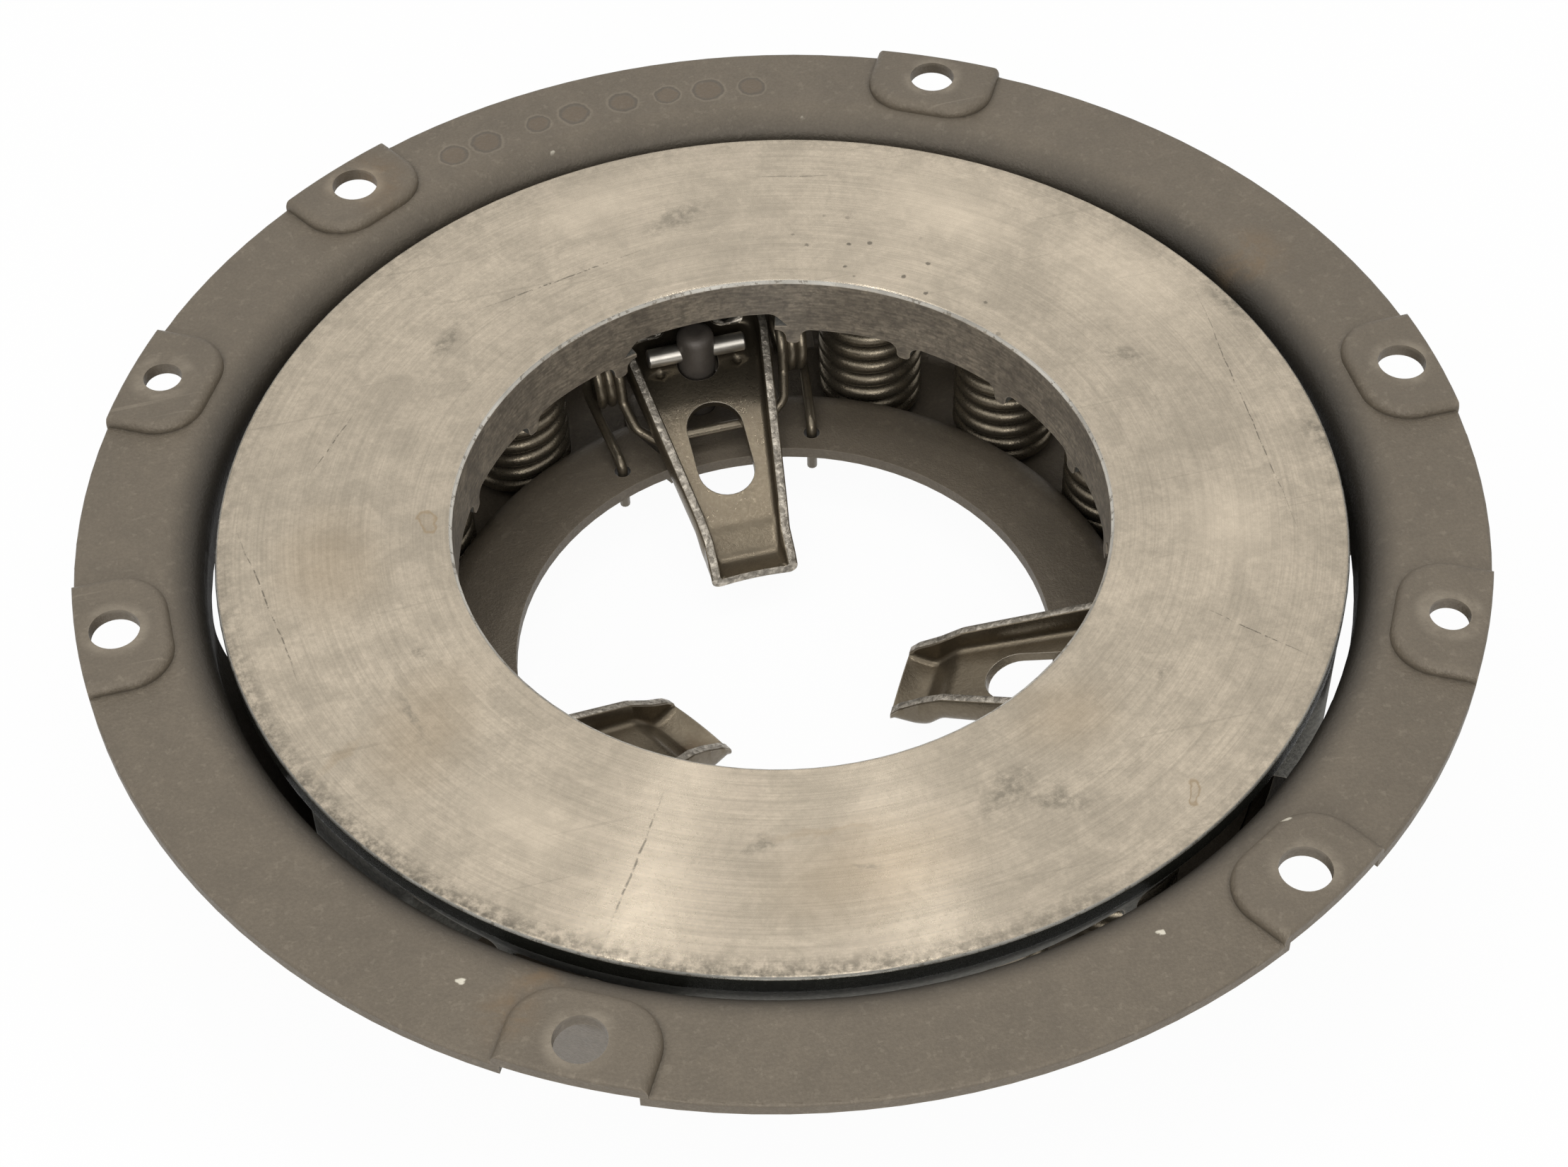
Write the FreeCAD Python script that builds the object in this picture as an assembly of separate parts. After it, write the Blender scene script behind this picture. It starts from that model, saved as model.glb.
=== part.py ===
import FreeCAD, Part
import math
import os

# Clutch pressure plate of the three lever, coil spring kind.
# Millimetres. +Z points to the flywheel, the clutch axis is the Z axis and
# Z = 0 is the face of the mounting pads that bolt to the flywheel.
# Levers stand at 90, 210 and 330 degrees, and each sector between two levers
# carries four coil springs.

# Cover: flange, wall, spring channel and centre annulus
sheet = 3.0
flange_radius = 147.65
pad_rise = 2.5
wall_radius = 121.4
flange_bend = 8.5
flange_edge_round = 0.8
cone_start_depth = 20.0
cone_bend = 12.0
cover_height = 65.4
channel_outer_radius = 108.5
channel_corner = 2.0
channel_heel = 1.0
channel_inner_radius = 80.3
pivot_over_annulus = 15.6
annulus_shoulder = 6.0
opening_radius = 59.5

# Cover: mounting pads and their holes
bolt_circle_radius = 139.7
bolt_count = 6
bolt_hole_radius = 5.2
dowel_hole_radius = 4.2
dowel_angles = (150.0, 330.0)
pad_half_width = 14.9
pad_inner_distance = 128.5
pad_corner = 10.0
pad_edge_round = 2.2
pad_wall = 1.6

# Cover: windows in the wall
lever_window_half_width = 34.5
lever_window_top = 18.9
lever_window_bite = 1.5
lever_window_corner = 6.0
vent_top_half_width = 57.0
vent_bottom_half_width = 41.0
vent_top = 17.0
vent_bottom = 52.0
vent_corner = 9.0

# Cover: pressed bay under each lever
lever_count = 3
first_lever_angle = 90.0
bay_drop = 2.0
bay_mouth_half_width = 10.5
bay_neck_distance = 64.0
bay_neck_half_width = 13.5
bay_half_width = 17.0
bay_end_distance = 91.5
bay_corner = 8.0
bay_edge_round = 4.0
bay_crease = 1.5
bay_root = 1.8

# Pressure ring
ring_outer_radius = 119.0
ring_bore_radius = 69.46
ring_face_depth = 4.9
ring_thickness = 15.1
ring_land = 4.6
ring_taper = 4.7
ring_chamfer = 0.6
bore_chamfer = 0.8
rib_width = 3.2
rib_depth = 4.2
rib_tip_round = 1.2
rib_root_round = 2.6
arch_half_width = 16.0
arch_rise = 5.0
arch_corner = 3.0
arch_depth = 9.0
ring_travel = 4.6

# Lugs of the pressure ring
lug_outer_radius = 118.8
lug_half_width = 14.3
lug_slot_depth = 20.0
lug_corner = 3.0
ledge_thickness = 4.5
ledge_length = 9.0

# Lever: a pressed channel that is open towards the flywheel
lever_sheet = 2.3
lever_slope = 20.0
pivot_distance = 79.5
pivot_depth = 33.3
lever_half_width = 17.6
lever_nose_half_width = 10.15
lever_tip_distance = 26.6
lever_flange_height = 7.5
lever_nose_flange_height = 5.5
lever_lip_flange_height = 3.3
lever_shoulder_flange_height = 5.2
nose_bend_distance = 38.0
nose_bend = 4.0
valley_distance = 33.2
valley_drop = 5.0
valley_bend = 3.0
nose_rise = 1.3
lever_crown = 6.0
lever_waist = 8.0
lever_shoulder_distance = 86.0
tongue_half_width = 7.5
tongue_end_distance = 94.5
lever_slot_width = 13.3
lever_slot_start = 12.9
lever_slot_end = 36.8
lever_corner = 3.0

# Eyebolt, fulcrum pin, nut and strut
fulcrum_pin_radius = 2.25
fulcrum_pin_length = 23.4
eye_radius = 4.4
eye_top_rise = 6.4
eye_dome = 2.6
shank_radius = 3.95
shank_over_annulus = 3.9
shank_tail = 1.5
shank_chamfer = 0.6
pin_chamfer = 0.35
nut_across_flats = 12.7
nut_height = 6.3
nut_chamfer = 0.8
strut_arm = 12.5
strut_thickness = 3.0
strut_height = 6.0
strut_round = 1.45

# Anti rattle wire spring beside each lever
wire_radius = 1.35
coil_distance = 80.5
coil_drop = 2.6
coil_mean_radius = 7.0
coil_side = 20.9
coil_pitch = 2.6
coil_fullness = 0.15
crossbar_distance = 64.9
crossbar_half_width = 14.5
crossbar_drop = 12.2
arm_offset = 3.0
leg_hole_distance = 60.6
leg_hole_side = 22.9
leg_hole_radius = 1.9
leg_tail = 8.0
leg_knee_rise = 2.0

# Pressure springs
spring_circle_radius = 94.0
spring_outer_radius = 12.6
spring_wire = 3.85
spring_count_per_sector = 4
spring_step_angle = 21.5
spring_boss_height = 3.0

# Clearances
running_gap = 0.05
side_gap = 0.80
strut_gap = 0.12
bolt_gap = 0.35
slot_gap = 0.50
boss_gap = 0.40
coil_gap = 1.0
overrun = 1.0

# Heights that follow from the sizes above
flange_top = -pad_rise
floor_top = sheet - cover_height
floor_bottom = -cover_height
annulus_top = -pivot_depth - pivot_over_annulus
annulus_bottom = annulus_top - sheet
bay_top = annulus_top - bay_drop
bay_bottom = bay_top - sheet
leg_knee_height = annulus_top + leg_knee_rise
ring_top = -ring_face_depth
ring_bottom = ring_top - ring_thickness
land_bottom = ring_top - ring_land
coil_depth = pivot_depth + coil_drop
crossbar_depth = pivot_depth + crossbar_drop
sector_angle = 360.0 / lever_count
strut_distance = pivot_distance + strut_arm
lug_inner_distance = lever_shoulder_distance + lever_corner + side_gap
lever_window_inner_radius = channel_outer_radius - lever_window_bite
rib_outer_radius = ring_outer_radius - ring_taper
web_offset = fulcrum_pin_radius + running_gap
spring_inner_radius = spring_outer_radius - spring_wire
boss_radius = spring_inner_radius - boss_gap

AXIS = FreeCAD.Vector(0, 0, 1)
ORIGIN = FreeCAD.Vector(0, 0, 0)


def point(x, y, z):
    return FreeCAD.Vector(x, y, z)


def turned(shape, angle):
    """The shape turned about the clutch axis."""
    copy = shape.copy()
    copy.rotate(ORIGIN, AXIS, angle)
    return copy


def lever_angles():
    return [first_lever_angle + i * sector_angle for i in range(lever_count)]


def sector_angles():
    return [angle + sector_angle / 2 for angle in lever_angles()]


def spring_angles():
    """Angles of all springs, sector by sector."""
    angles = []
    middle = (spring_count_per_sector - 1) / 2
    for sector in sector_angles():
        for i in range(spring_count_per_sector):
            angles.append(sector + (i - middle) * spring_step_angle)
    return angles


def rounded_wire(points, z=0.0):
    """Closed wire through (x, y, radius) corners, each corner an arc."""
    edges = []
    ends = []
    count = len(points)
    for i in range(count):
        x, y, radius = points[i]
        before = points[i - 1]
        after = points[(i + 1) % count]
        corner = point(x, y, z)
        if radius <= 0:
            ends.append((corner, corner, None))
            continue
        to_before = point(before[0] - x, before[1] - y, 0)
        to_after = point(after[0] - x, after[1] - y, 0)
        half = to_before.getAngle(to_after) / 2
        to_before.normalize()
        to_after.normalize()
        reach = radius / math.tan(half)
        start = corner + to_before * reach
        end = corner + to_after * reach
        bisector = to_before + to_after
        bisector.normalize()
        middle = corner + bisector * (radius / math.sin(half) - radius)
        ends.append((start, end, middle))
    for i in range(count):
        start, end, middle = ends[i]
        if middle is not None:
            edges.append(Part.Arc(start, middle, end).toShape())
        following = ends[(i + 1) % count][0]
        if end.distanceToPoint(following) > 1e-6:
            edges.append(Part.LineSegment(end, following).toShape())
    return Part.Wire(Part.__sortEdges__(edges))


def prism(points, z_low, z_high):
    """Upright prism over a rounded outline."""
    face = Part.Face(rounded_wire(points, z_low))
    return face.extrude(point(0, 0, z_high - z_low))


def revolved(points):
    """Solid of revolution of a closed (radius, z, corner) outline."""
    wire = rounded_wire(points)
    wire.rotate(ORIGIN, point(1, 0, 0), 90)
    return Part.Face(wire).revolve(ORIGIN, AXIS, 360)


def cylinder(radius, z_low, z_high, x=0.0, y=0.0):
    return Part.makeCylinder(radius, z_high - z_low, point(x, y, z_low))


def box(x_low, x_high, y_low, y_high, z_low, z_high):
    size = (x_high - x_low, y_high - y_low, z_high - z_low)
    return Part.makeBox(size[0], size[1], size[2], point(x_low, y_low, z_low))


def cover_shell():
    """Flange, wall, spring channel and centre annulus as one pressed sheet."""
    outer_wall = wall_radius + sheet
    heel_wall = channel_inner_radius - sheet
    lean = math.atan((wall_radius - channel_outer_radius) / (-cone_start_depth - floor_top))
    outer_cone_start = -cone_start_depth - sheet * math.tan(lean / 2)
    outer_floor = channel_outer_radius + sheet * (1 - math.sin(lean)) / math.cos(lean)
    return revolved([
        (flange_radius, flange_top, flange_edge_round),
        (wall_radius, flange_top, flange_bend),
        (wall_radius, -cone_start_depth, cone_bend),
        (channel_outer_radius, floor_top, channel_corner),
        (channel_inner_radius, floor_top, channel_heel),
        (channel_inner_radius, annulus_top, annulus_shoulder),
        (opening_radius, annulus_top, 0),
        (opening_radius, annulus_bottom, 0),
        (heel_wall, annulus_bottom, annulus_shoulder - sheet),
        (heel_wall, floor_bottom, channel_heel + sheet),
        (outer_floor, floor_bottom, channel_corner + sheet),
        (outer_wall, outer_cone_start, cone_bend + sheet),
        (outer_wall, flange_top - sheet, flange_bend - sheet),
        (flange_radius, flange_top - sheet, 0),
    ])


def pad_outline(inset):
    """Outline of a mounting pad along +X, drawn in by inset."""
    half = pad_half_width - inset
    inner = pad_inner_distance + inset
    corner = pad_corner - inset
    far = flange_radius + sheet
    return [(inner, -half, corner), (far, -half, 0), (far, half, 0), (inner, half, corner)]


def pad_block():
    """Pad along +X with a rounded upper edge, cut off at the rim of the flange."""
    low = flange_top - sheet / 2
    block = prism(pad_outline(0.0), low, 0.0)
    edges = [edge for edge in block.Edges if edge.BoundBox.ZMin > low / 2]
    block = block.makeFillet(pad_edge_round, edges)
    rim = revolved([(flange_radius, low, 0), (flange_radius, 0.0, flange_edge_round),
                    (wall_radius, 0.0, 0), (wall_radius, low, 0)])
    return block.common(rim)


def add_pads(shell):
    """Raised pads under every bolt and dowel, hollow below like the pressing."""
    raised = pad_block()
    hollow = prism(pad_outline(pad_wall), flange_top - sheet, -sheet)
    for angle in bolt_angles() + list(dowel_angles):
        shell = shell.fuse(turned(raised, angle))
        shell = shell.cut(turned(hollow, angle))
    return shell


def bolt_angles():
    return [i * 360.0 / bolt_count for i in range(bolt_count)]


def cut_flange_holes(shell):
    low = flange_top - sheet
    for angle in bolt_angles():
        shell = shell.cut(turned(cylinder(bolt_hole_radius, low, overrun, bolt_circle_radius), angle))
    for angle in dowel_angles:
        shell = shell.cut(turned(cylinder(dowel_hole_radius, low, overrun, bolt_circle_radius), angle))
    return shell


def bay_outline(grow):
    """Inner part of the bay that is pressed into the annulus, along +X."""
    mouth = bay_mouth_half_width + grow
    neck = bay_neck_half_width + grow
    half = bay_half_width + grow
    start = opening_radius - bay_neck_half_width
    edge = opening_radius - overrun
    wide = bay_neck_distance + 2 * (bay_half_width - bay_neck_half_width)
    end = channel_inner_radius - bay_crease
    return [
        (start, -mouth, 0), (edge, -mouth, 0), (bay_neck_distance, -neck, 0),
        (wide, -half, 0), (end, -half, 0), (end, half, 0), (wide, half, 0),
        (bay_neck_distance, neck, 0), (edge, mouth, 0), (start, mouth, 0),
    ]


def bay_block(inset, top, edge_round):
    """Outer part of the bay that stands in the spring channel, along +X."""
    start = channel_inner_radius - bay_crease - bay_root
    half = bay_half_width - inset
    end = bay_end_distance - inset
    corner = bay_corner - inset
    outline = [(start, -half, 0), (end, -half, corner), (end, half, corner), (start, half, 0)]
    block = prism(outline, floor_bottom, top)
    rims = []
    for edge in block.Edges:
        bounds = edge.BoundBox
        level = bounds.ZMin > top - 1e-6
        if level and bounds.XMax > start + 1e-6:
            rims.append(edge)
    return block.makeFillet(edge_round, rims)


def add_lever_bay(shell, angle):
    """Lowered seat for the eyebolt, carried out into the spring channel."""
    inner = bay_outline(0.0)
    border = prism(bay_outline(bay_crease), bay_bottom, annulus_top)
    opening = cylinder(opening_radius, floor_bottom, overrun)
    plate = prism(inner, bay_bottom, bay_top)
    frame = border.cut(prism(inner, bay_bottom, annulus_top)).fuse(plate).cut(opening)
    outside = bay_block(0.0, bay_top, bay_edge_round)
    inside = bay_block(sheet, bay_bottom, bay_edge_round - sheet)
    room = prism(inner, bay_top, 0.0)
    shell = shell.fuse(turned(frame, angle))
    shell = shell.fuse(turned(outside, angle))
    shell = shell.cut(turned(room, angle))
    shell = shell.cut(turned(inside, angle))
    under = prism(inner, floor_bottom, bay_bottom)
    shell = shell.cut(turned(under, angle))
    bolt_hole = cylinder(shank_radius + bolt_gap, floor_bottom, 0.0, pivot_distance)
    shell = shell.cut(turned(bolt_hole, angle))
    for side in (-1, 1):
        hole = cylinder(leg_hole_radius, floor_bottom, 0.0, leg_hole_distance, side * leg_hole_side)
        shell = shell.cut(turned(hole, angle))
    return shell


def window_cutter(points, reach_low, reach_high):
    """Cutter along +X for an outline of (y, z, corner) points."""
    wire = rounded_wire(points)
    wire.rotate(ORIGIN, point(1, 1, 1), 120)
    cutter = Part.Face(wire).extrude(point(reach_high - reach_low, 0, 0))
    cutter.translate(point(reach_low, 0, 0))
    return cutter


def lever_window():
    """Opening at each lever, from the wall down into the channel floor."""
    half = lever_window_half_width
    corner = lever_window_corner
    deep = floor_bottom - overrun
    top = -lever_window_top
    points = [(-half, deep, 0), (half, deep, 0), (half, top, corner), (-half, top, corner)]
    cutter = window_cutter(points, ring_bore_radius, flange_radius)
    return cutter.cut(cylinder(lever_window_inner_radius, deep - overrun, 0.0))


def vent_window():
    """Cooling window in the middle of each spring sector."""
    wide = vent_top_half_width
    narrow = vent_bottom_half_width
    points = [
        (-narrow, -vent_bottom, vent_corner), (narrow, -vent_bottom, vent_corner),
        (wide, -vent_top, vent_corner), (-wide, -vent_top, vent_corner),
    ]
    return window_cutter(points, spring_circle_radius, flange_radius)


def add_spring_seats(shell):
    """Round seats pressed up from the channel floor to centre the springs."""
    for angle in spring_angles():
        seat = cylinder(boss_radius, floor_top - sheet / 2, floor_top + spring_boss_height,
                        spring_circle_radius)
        hollow = cylinder(boss_radius - sheet, floor_bottom, floor_top - sheet + spring_boss_height,
                          spring_circle_radius)
        shell = shell.fuse(turned(seat, angle)).cut(turned(hollow, angle))
    return shell


def make_cover():
    shell = add_pads(cover_shell())
    for angle in lever_angles():
        shell = add_lever_bay(shell, angle)
        shell = shell.cut(turned(lever_window(), angle))
    for angle in sector_angles():
        shell = shell.cut(turned(vent_window(), angle))
    shell = add_spring_seats(shell)
    return cut_flange_holes(shell)


def ring_blank():
    """Machined ring with an as cast tapered rim."""
    return revolved([
        (ring_outer_radius - ring_chamfer, ring_top, 0), (ring_outer_radius, ring_top - ring_chamfer, 0),
        (ring_outer_radius, land_bottom, 0), (rib_outer_radius, ring_bottom, 0),
        (ring_bore_radius, ring_bottom, 0), (ring_bore_radius, ring_top - bore_chamfer, 0),
        (ring_bore_radius + bore_chamfer, ring_top, 0),
    ])


def rib_angles():
    """A rib stands on either side of every spring."""
    angles = []
    middle = spring_count_per_sector / 2
    for sector in sector_angles():
        for i in range(spring_count_per_sector + 1):
            angles.append(sector + (i - middle) * spring_step_angle)
    return angles


def ring_rib():
    """Radial rib on the back of the ring, along +X, from the bore to the rim."""
    low = ring_bottom - rib_depth
    half = rib_width / 2
    root = half + rib_root_round
    rooted = ring_bottom + overrun
    points = [
        (-half, low, rib_tip_round), (half, low, rib_tip_round), (half, ring_bottom, rib_root_round),
        (root, ring_bottom, 0), (root, rooted, 0), (-root, rooted, 0), (-root, ring_bottom, 0),
        (-half, ring_bottom, rib_root_round),
    ]
    rib = window_cutter(points, ring_bore_radius - overrun, rib_outer_radius)
    rib = rib.cut(cylinder(ring_bore_radius, low - overrun, ring_top))
    return rib.common(cylinder(rib_outer_radius, low - overrun, ring_top))


def coil_relief():
    """Room in the ribs beside a lever for the coils of the wire spring, along +X."""
    reach = coil_mean_radius + wire_radius
    top = reach - coil_depth + ring_travel + coil_gap
    low = ring_bottom - rib_depth - overrun
    side = coil_side + coil_pitch + rib_width + rib_root_round
    start = coil_distance - reach + coil_gap
    end = coil_distance + reach
    return box(start, end, -side, side, low, min(top, ring_bottom))


def lever_arch():
    """Hollow over each lever in the lower edge of the bore, along +X."""
    low = ring_bottom - overrun
    top = ring_bottom + arch_rise
    half = arch_half_width
    points = [(-half - arch_rise, low, 0), (half + arch_rise, low, 0),
              (half, top, arch_corner), (-half, top, arch_corner)]
    inner = ring_bore_radius - arch_depth
    return window_cutter(points, inner, ring_bore_radius + arch_depth)


def ledge_top():
    """Height of the ledge that the strut stands on."""
    return strut_top() - strut_height


def strut_top():
    """Highest point of the strut, just under the lever tongue."""
    slope = math.radians(lever_slope)
    under_web = web_offset + lever_sheet
    half = strut_thickness / 2
    reach = under_web + half + strut_gap
    centre = (strut_arm * math.sin(slope) - reach) / math.cos(slope)
    return centre + half - pivot_depth


def ring_lug():
    """Two cheeks, an outer wall and a ledge, along +X."""
    low = ledge_top() - ledge_thickness
    half = lug_half_width
    block = box(lug_inner_distance, lug_outer_radius, -half, half, low, land_bottom)
    block = block.common(cylinder(lug_outer_radius, low, land_bottom))
    corners = []
    for edge in block.Edges:
        bounds = edge.BoundBox
        upright = bounds.ZLength > ledge_thickness and bounds.XLength < running_gap
        if upright and bounds.XMin > lug_inner_distance + overrun:
            corners.append(edge)
    block = block.makeFillet(lug_corner, corners)
    slot_half = tongue_half_width + side_gap
    slot_start = lug_inner_distance - overrun
    slot_end = lug_inner_distance + lug_slot_depth
    slot = box(slot_start, slot_end, -slot_half, slot_half, ledge_top(), ring_bottom)
    behind = lug_inner_distance + ledge_length
    slot = slot.fuse(box(behind, slot_end, -slot_half, slot_half, low - overrun, ring_bottom))
    return block.cut(slot)


def make_pressure_ring():
    ring = ring_blank()
    for angle in lever_angles():
        ring = ring.cut(turned(lever_arch(), angle))
    for angle in rib_angles():
        ring = ring.fuse(turned(ring_rib(), angle))
    boss = cylinder(boss_radius, ring_bottom - spring_boss_height, ring_bottom + overrun,
                    spring_circle_radius)
    for angle in spring_angles():
        ring = ring.fuse(turned(boss, angle))
    for angle in lever_angles():
        ring = ring.cut(turned(coil_relief(), angle))
        ring = ring.fuse(turned(ring_lug(), angle))
    return ring


def web_height(distance):
    """Top of the lever web at a distance from the clutch axis."""
    slope = math.radians(lever_slope)
    return -pivot_depth - web_offset / math.cos(slope) - (pivot_distance - distance) * math.tan(slope)


def side_profile(drop, flange):
    """Side view of the lever as (x, z): web line lowered by drop, and a top line."""
    slope = math.radians(lever_slope)
    bend = web_height(nose_bend_distance)
    valley = bend - valley_drop
    low = drop / math.cos(slope)
    ramp = math.atan(valley_drop / (nose_bend_distance - valley_distance))
    bend_shift = drop * math.tan((ramp - slope) / 2)
    valley_shift = drop * math.tan(ramp / 2)
    outer_bend = nose_bend_distance - bend_shift * math.cos(slope) + drop * math.sin(slope)
    bottom = [
        (tongue_end_distance, web_height(tongue_end_distance) - low),
        (outer_bend, web_height(outer_bend) - low),
        (valley_distance + valley_shift, valley - drop),
        (lever_tip_distance, valley + nose_rise - drop),
    ]
    if not flange:
        return bottom
    top = [
        (lever_tip_distance, valley + nose_rise),
        (lever_tip_distance + lever_sheet, valley + lever_lip_flange_height),
        (nose_bend_distance, bend + lever_nose_flange_height),
        (pivot_distance, web_height(pivot_distance) + lever_flange_height),
        (lever_shoulder_distance, web_height(lever_shoulder_distance) + lever_shoulder_flange_height),
    ]
    return bottom + top


def upright_plate(points, half):
    """Plate over (x, z, corner) points that spans -half to half in y."""
    wire = rounded_wire([(x, z, corner) for x, z, corner in points])
    wire.rotate(ORIGIN, point(1, 0, 0), 90)
    wire.translate(point(0, half, 0))
    return Part.Face(wire).extrude(point(0, -2 * half, 0))


def lever_plan(inset):
    """Plan outline of the lever, drawn in by inset."""
    nose = lever_nose_half_width - inset
    wide = lever_half_width - inset
    neck = tongue_half_width
    corner = lever_corner - inset
    far = tongue_end_distance + overrun
    shoulder = lever_shoulder_distance
    half_plan = [
        (lever_tip_distance - overrun, nose, 0), (valley_distance, nose, 0),
        (pivot_distance, wide, lever_waist),
        (shoulder, wide, corner), (shoulder + lever_corner, neck, lever_corner), (far, neck, 0),
    ]
    other_half = [(x, -y, radius) for x, y, radius in reversed(half_plan)]
    return half_plan + other_half


def lever_pocket():
    """Space between the lever flanges, above the web."""
    inset = lever_sheet
    nose = lever_nose_half_width - inset
    wide = lever_half_width - inset
    waist = lever_waist
    start = lever_tip_distance - overrun
    end = tongue_end_distance + overrun
    points = [
        (start, nose, 0), (valley_distance, nose, 0), (pivot_distance, wide, waist), (end, wide, 0),
        (end, -wide, 0), (pivot_distance, -wide, waist), (valley_distance, -nose, 0), (start, -nose, 0),
    ]
    return prism(points, floor_bottom, 0.0)


def lever_holes():
    """Eyebolt slot and lightening slot, square to the web."""
    slope = math.radians(lever_slope)
    lean = web_offset + lever_sheet
    reach = eye_radius / math.cos(slope)
    inner = -reach - lean * math.tan(slope) - slot_gap
    outer = eye_radius + slot_gap + running_gap
    half = eye_radius + slot_gap
    eye_round = half - slot_gap
    eye = [(inner, -half, eye_round), (outer, -half, eye_round),
           (outer, half, eye_round), (inner, half, eye_round)]
    slot_half = lever_slot_width / 2
    slot_radius = slot_half - running_gap
    slot = [(-lever_slot_end, -slot_half, slot_radius), (-lever_slot_start, -slot_half, slot_radius),
            (-lever_slot_start, slot_half, slot_radius), (-lever_slot_end, slot_half, slot_radius)]
    deep = -2 * (web_offset + lever_sheet)
    holes = prism(eye, deep, 0.0).fuse(prism(slot, deep, 0.0))
    holes.rotate(ORIGIN, point(0, 1, 0), -lever_slope)
    holes.translate(point(pivot_distance, 0, -pivot_depth))
    return holes


def make_lever():
    """Pressed channel lever along +X: web, two flanges, nose and tongue."""
    outline = side_profile(lever_sheet, True)
    radii = [0, nose_bend, valley_bend + lever_sheet, 0, 0, lever_sheet, lever_crown, lever_crown, 0]
    block = upright_plate([p + (r,) for p, r in zip(outline, radii)], lever_half_width)
    web_line = side_profile(0.0, False)
    before_tip = lever_tip_distance - overrun
    above = [(before_tip, web_line[-1][1]), (before_tip, 0.0), (tongue_end_distance + overrun, 0.0)]
    pocket_line = web_line + above
    pocket_radii = [0, nose_bend + lever_sheet, valley_bend, 0, 0, 0, 0]
    room = upright_plate([p + (r,) for p, r in zip(pocket_line, pocket_radii)], lever_half_width)
    tongue = upright_plate([(x, z, 0) for x, z in tongue_side()], tongue_half_width)
    lever = block.common(prism(lever_plan(0.0), floor_bottom, 0.0))
    lever = lever.cut(room.common(lever_pocket()))
    return lever.fuse(tongue).cut(lever_holes()).removeSplitter()


def tongue_side():
    """Side view of the flat tongue beyond the lever shoulder."""
    low = lever_sheet / math.cos(math.radians(lever_slope))
    start = lever_shoulder_distance - lever_corner
    end = tongue_end_distance
    return [(start, web_height(start)), (end, web_height(end)),
            (end, web_height(end) - low), (start, web_height(start) - low)]


def make_eyebolt():
    """Round post with a domed eye, the pin hole and a threaded shank."""
    top = eye_top_rise - pivot_depth
    low = bay_bottom - nut_height - shank_tail
    shank_start = annulus_top + shank_over_annulus
    post = cylinder(eye_radius, shank_start, top, pivot_distance)
    dome = [edge for edge in post.Edges if edge.BoundBox.ZMin > top - running_gap]
    post = post.makeFillet(eye_dome, dome)
    shank = cylinder(shank_radius, low, shank_start, pivot_distance)
    tip = [edge for edge in shank.Edges if edge.BoundBox.ZMax < low + running_gap]
    shank = shank.makeChamfer(shank_chamfer, tip)
    hole = Part.makeCylinder(fulcrum_pin_radius + running_gap, 3 * eye_radius,
                             point(pivot_distance, -1.5 * eye_radius, -pivot_depth), point(0, 1, 0))
    return post.fuse(shank).cut(hole)


def make_fulcrum_pin():
    half = fulcrum_pin_length / 2
    pin = Part.makeCylinder(fulcrum_pin_radius, fulcrum_pin_length,
                            point(pivot_distance, -half, -pivot_depth), point(0, 1, 0))
    rims = [edge for edge in pin.Edges if edge.BoundBox.YLength < running_gap]
    return pin.makeChamfer(pin_chamfer, rims)


def make_nut():
    """Hexagon adjusting nut on the outside of the cover."""
    radius = nut_across_flats / math.sqrt(3)
    corners = []
    for i in range(6):
        turn = math.radians(60 * i)
        corners.append((pivot_distance + radius * math.cos(turn), radius * math.sin(turn), 0))
    nut = prism(corners, bay_bottom - nut_height, bay_bottom)
    cone = Part.makeCone(radius - nut_chamfer, radius - nut_chamfer + nut_height, nut_height,
                         point(pivot_distance, 0, bay_bottom - nut_height))
    bore = cylinder(shank_radius + running_gap, bay_bottom - nut_height, bay_bottom, pivot_distance)
    return nut.common(cone).cut(bore)


def make_strut():
    """Plate that carries the ledge on the lever tongue, rounded on top."""
    half = strut_thickness / 2
    top = strut_top()
    low = ledge_top()
    bar = upright_plate([
        (strut_distance - half, low, 0), (strut_distance + half, low, 0),
        (strut_distance + half, top, strut_round), (strut_distance - half, top, strut_round),
    ], tongue_half_width - running_gap)
    return bar


def wire_path(points, radius):
    """Wire of straight runs joined by arcs of one bend radius."""
    edges = []
    start = point(*points[0])
    for i in range(1, len(points) - 1):
        corner = point(*points[i])
        to_before = (point(*points[i - 1]) - corner).normalize()
        to_after = (point(*points[i + 1]) - corner).normalize()
        half = to_before.getAngle(to_after) / 2
        reach = radius / math.tan(half)
        bend_start = corner + to_before * reach
        bend_end = corner + to_after * reach
        bisector = (to_before + to_after).normalize()
        middle = corner + bisector * (radius / math.sin(half) - radius)
        if start.distanceToPoint(bend_start) > 1e-6:
            edges.append(Part.LineSegment(start, bend_start).toShape())
        edges.append(Part.Arc(bend_start, middle, bend_end).toShape())
        start = bend_end
    edges.append(Part.LineSegment(start, point(*points[-1])).toShape())
    return Part.Wire(edges)


def rod(points, bend):
    """Round wire swept along a bent path."""
    path = wire_path(points, bend)
    first = point(*points[0])
    direction = (point(*points[1]) - first).normalize()
    section = Part.Wire(Part.Circle(first, direction, wire_radius).toShape())
    sweep = Part.BRepOffsetAPI.MakePipeShell(path)
    sweep.add(section)
    sweep.setFrenetMode(False)
    sweep.build()
    sweep.makeSolid()
    return sweep.shape()


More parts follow.
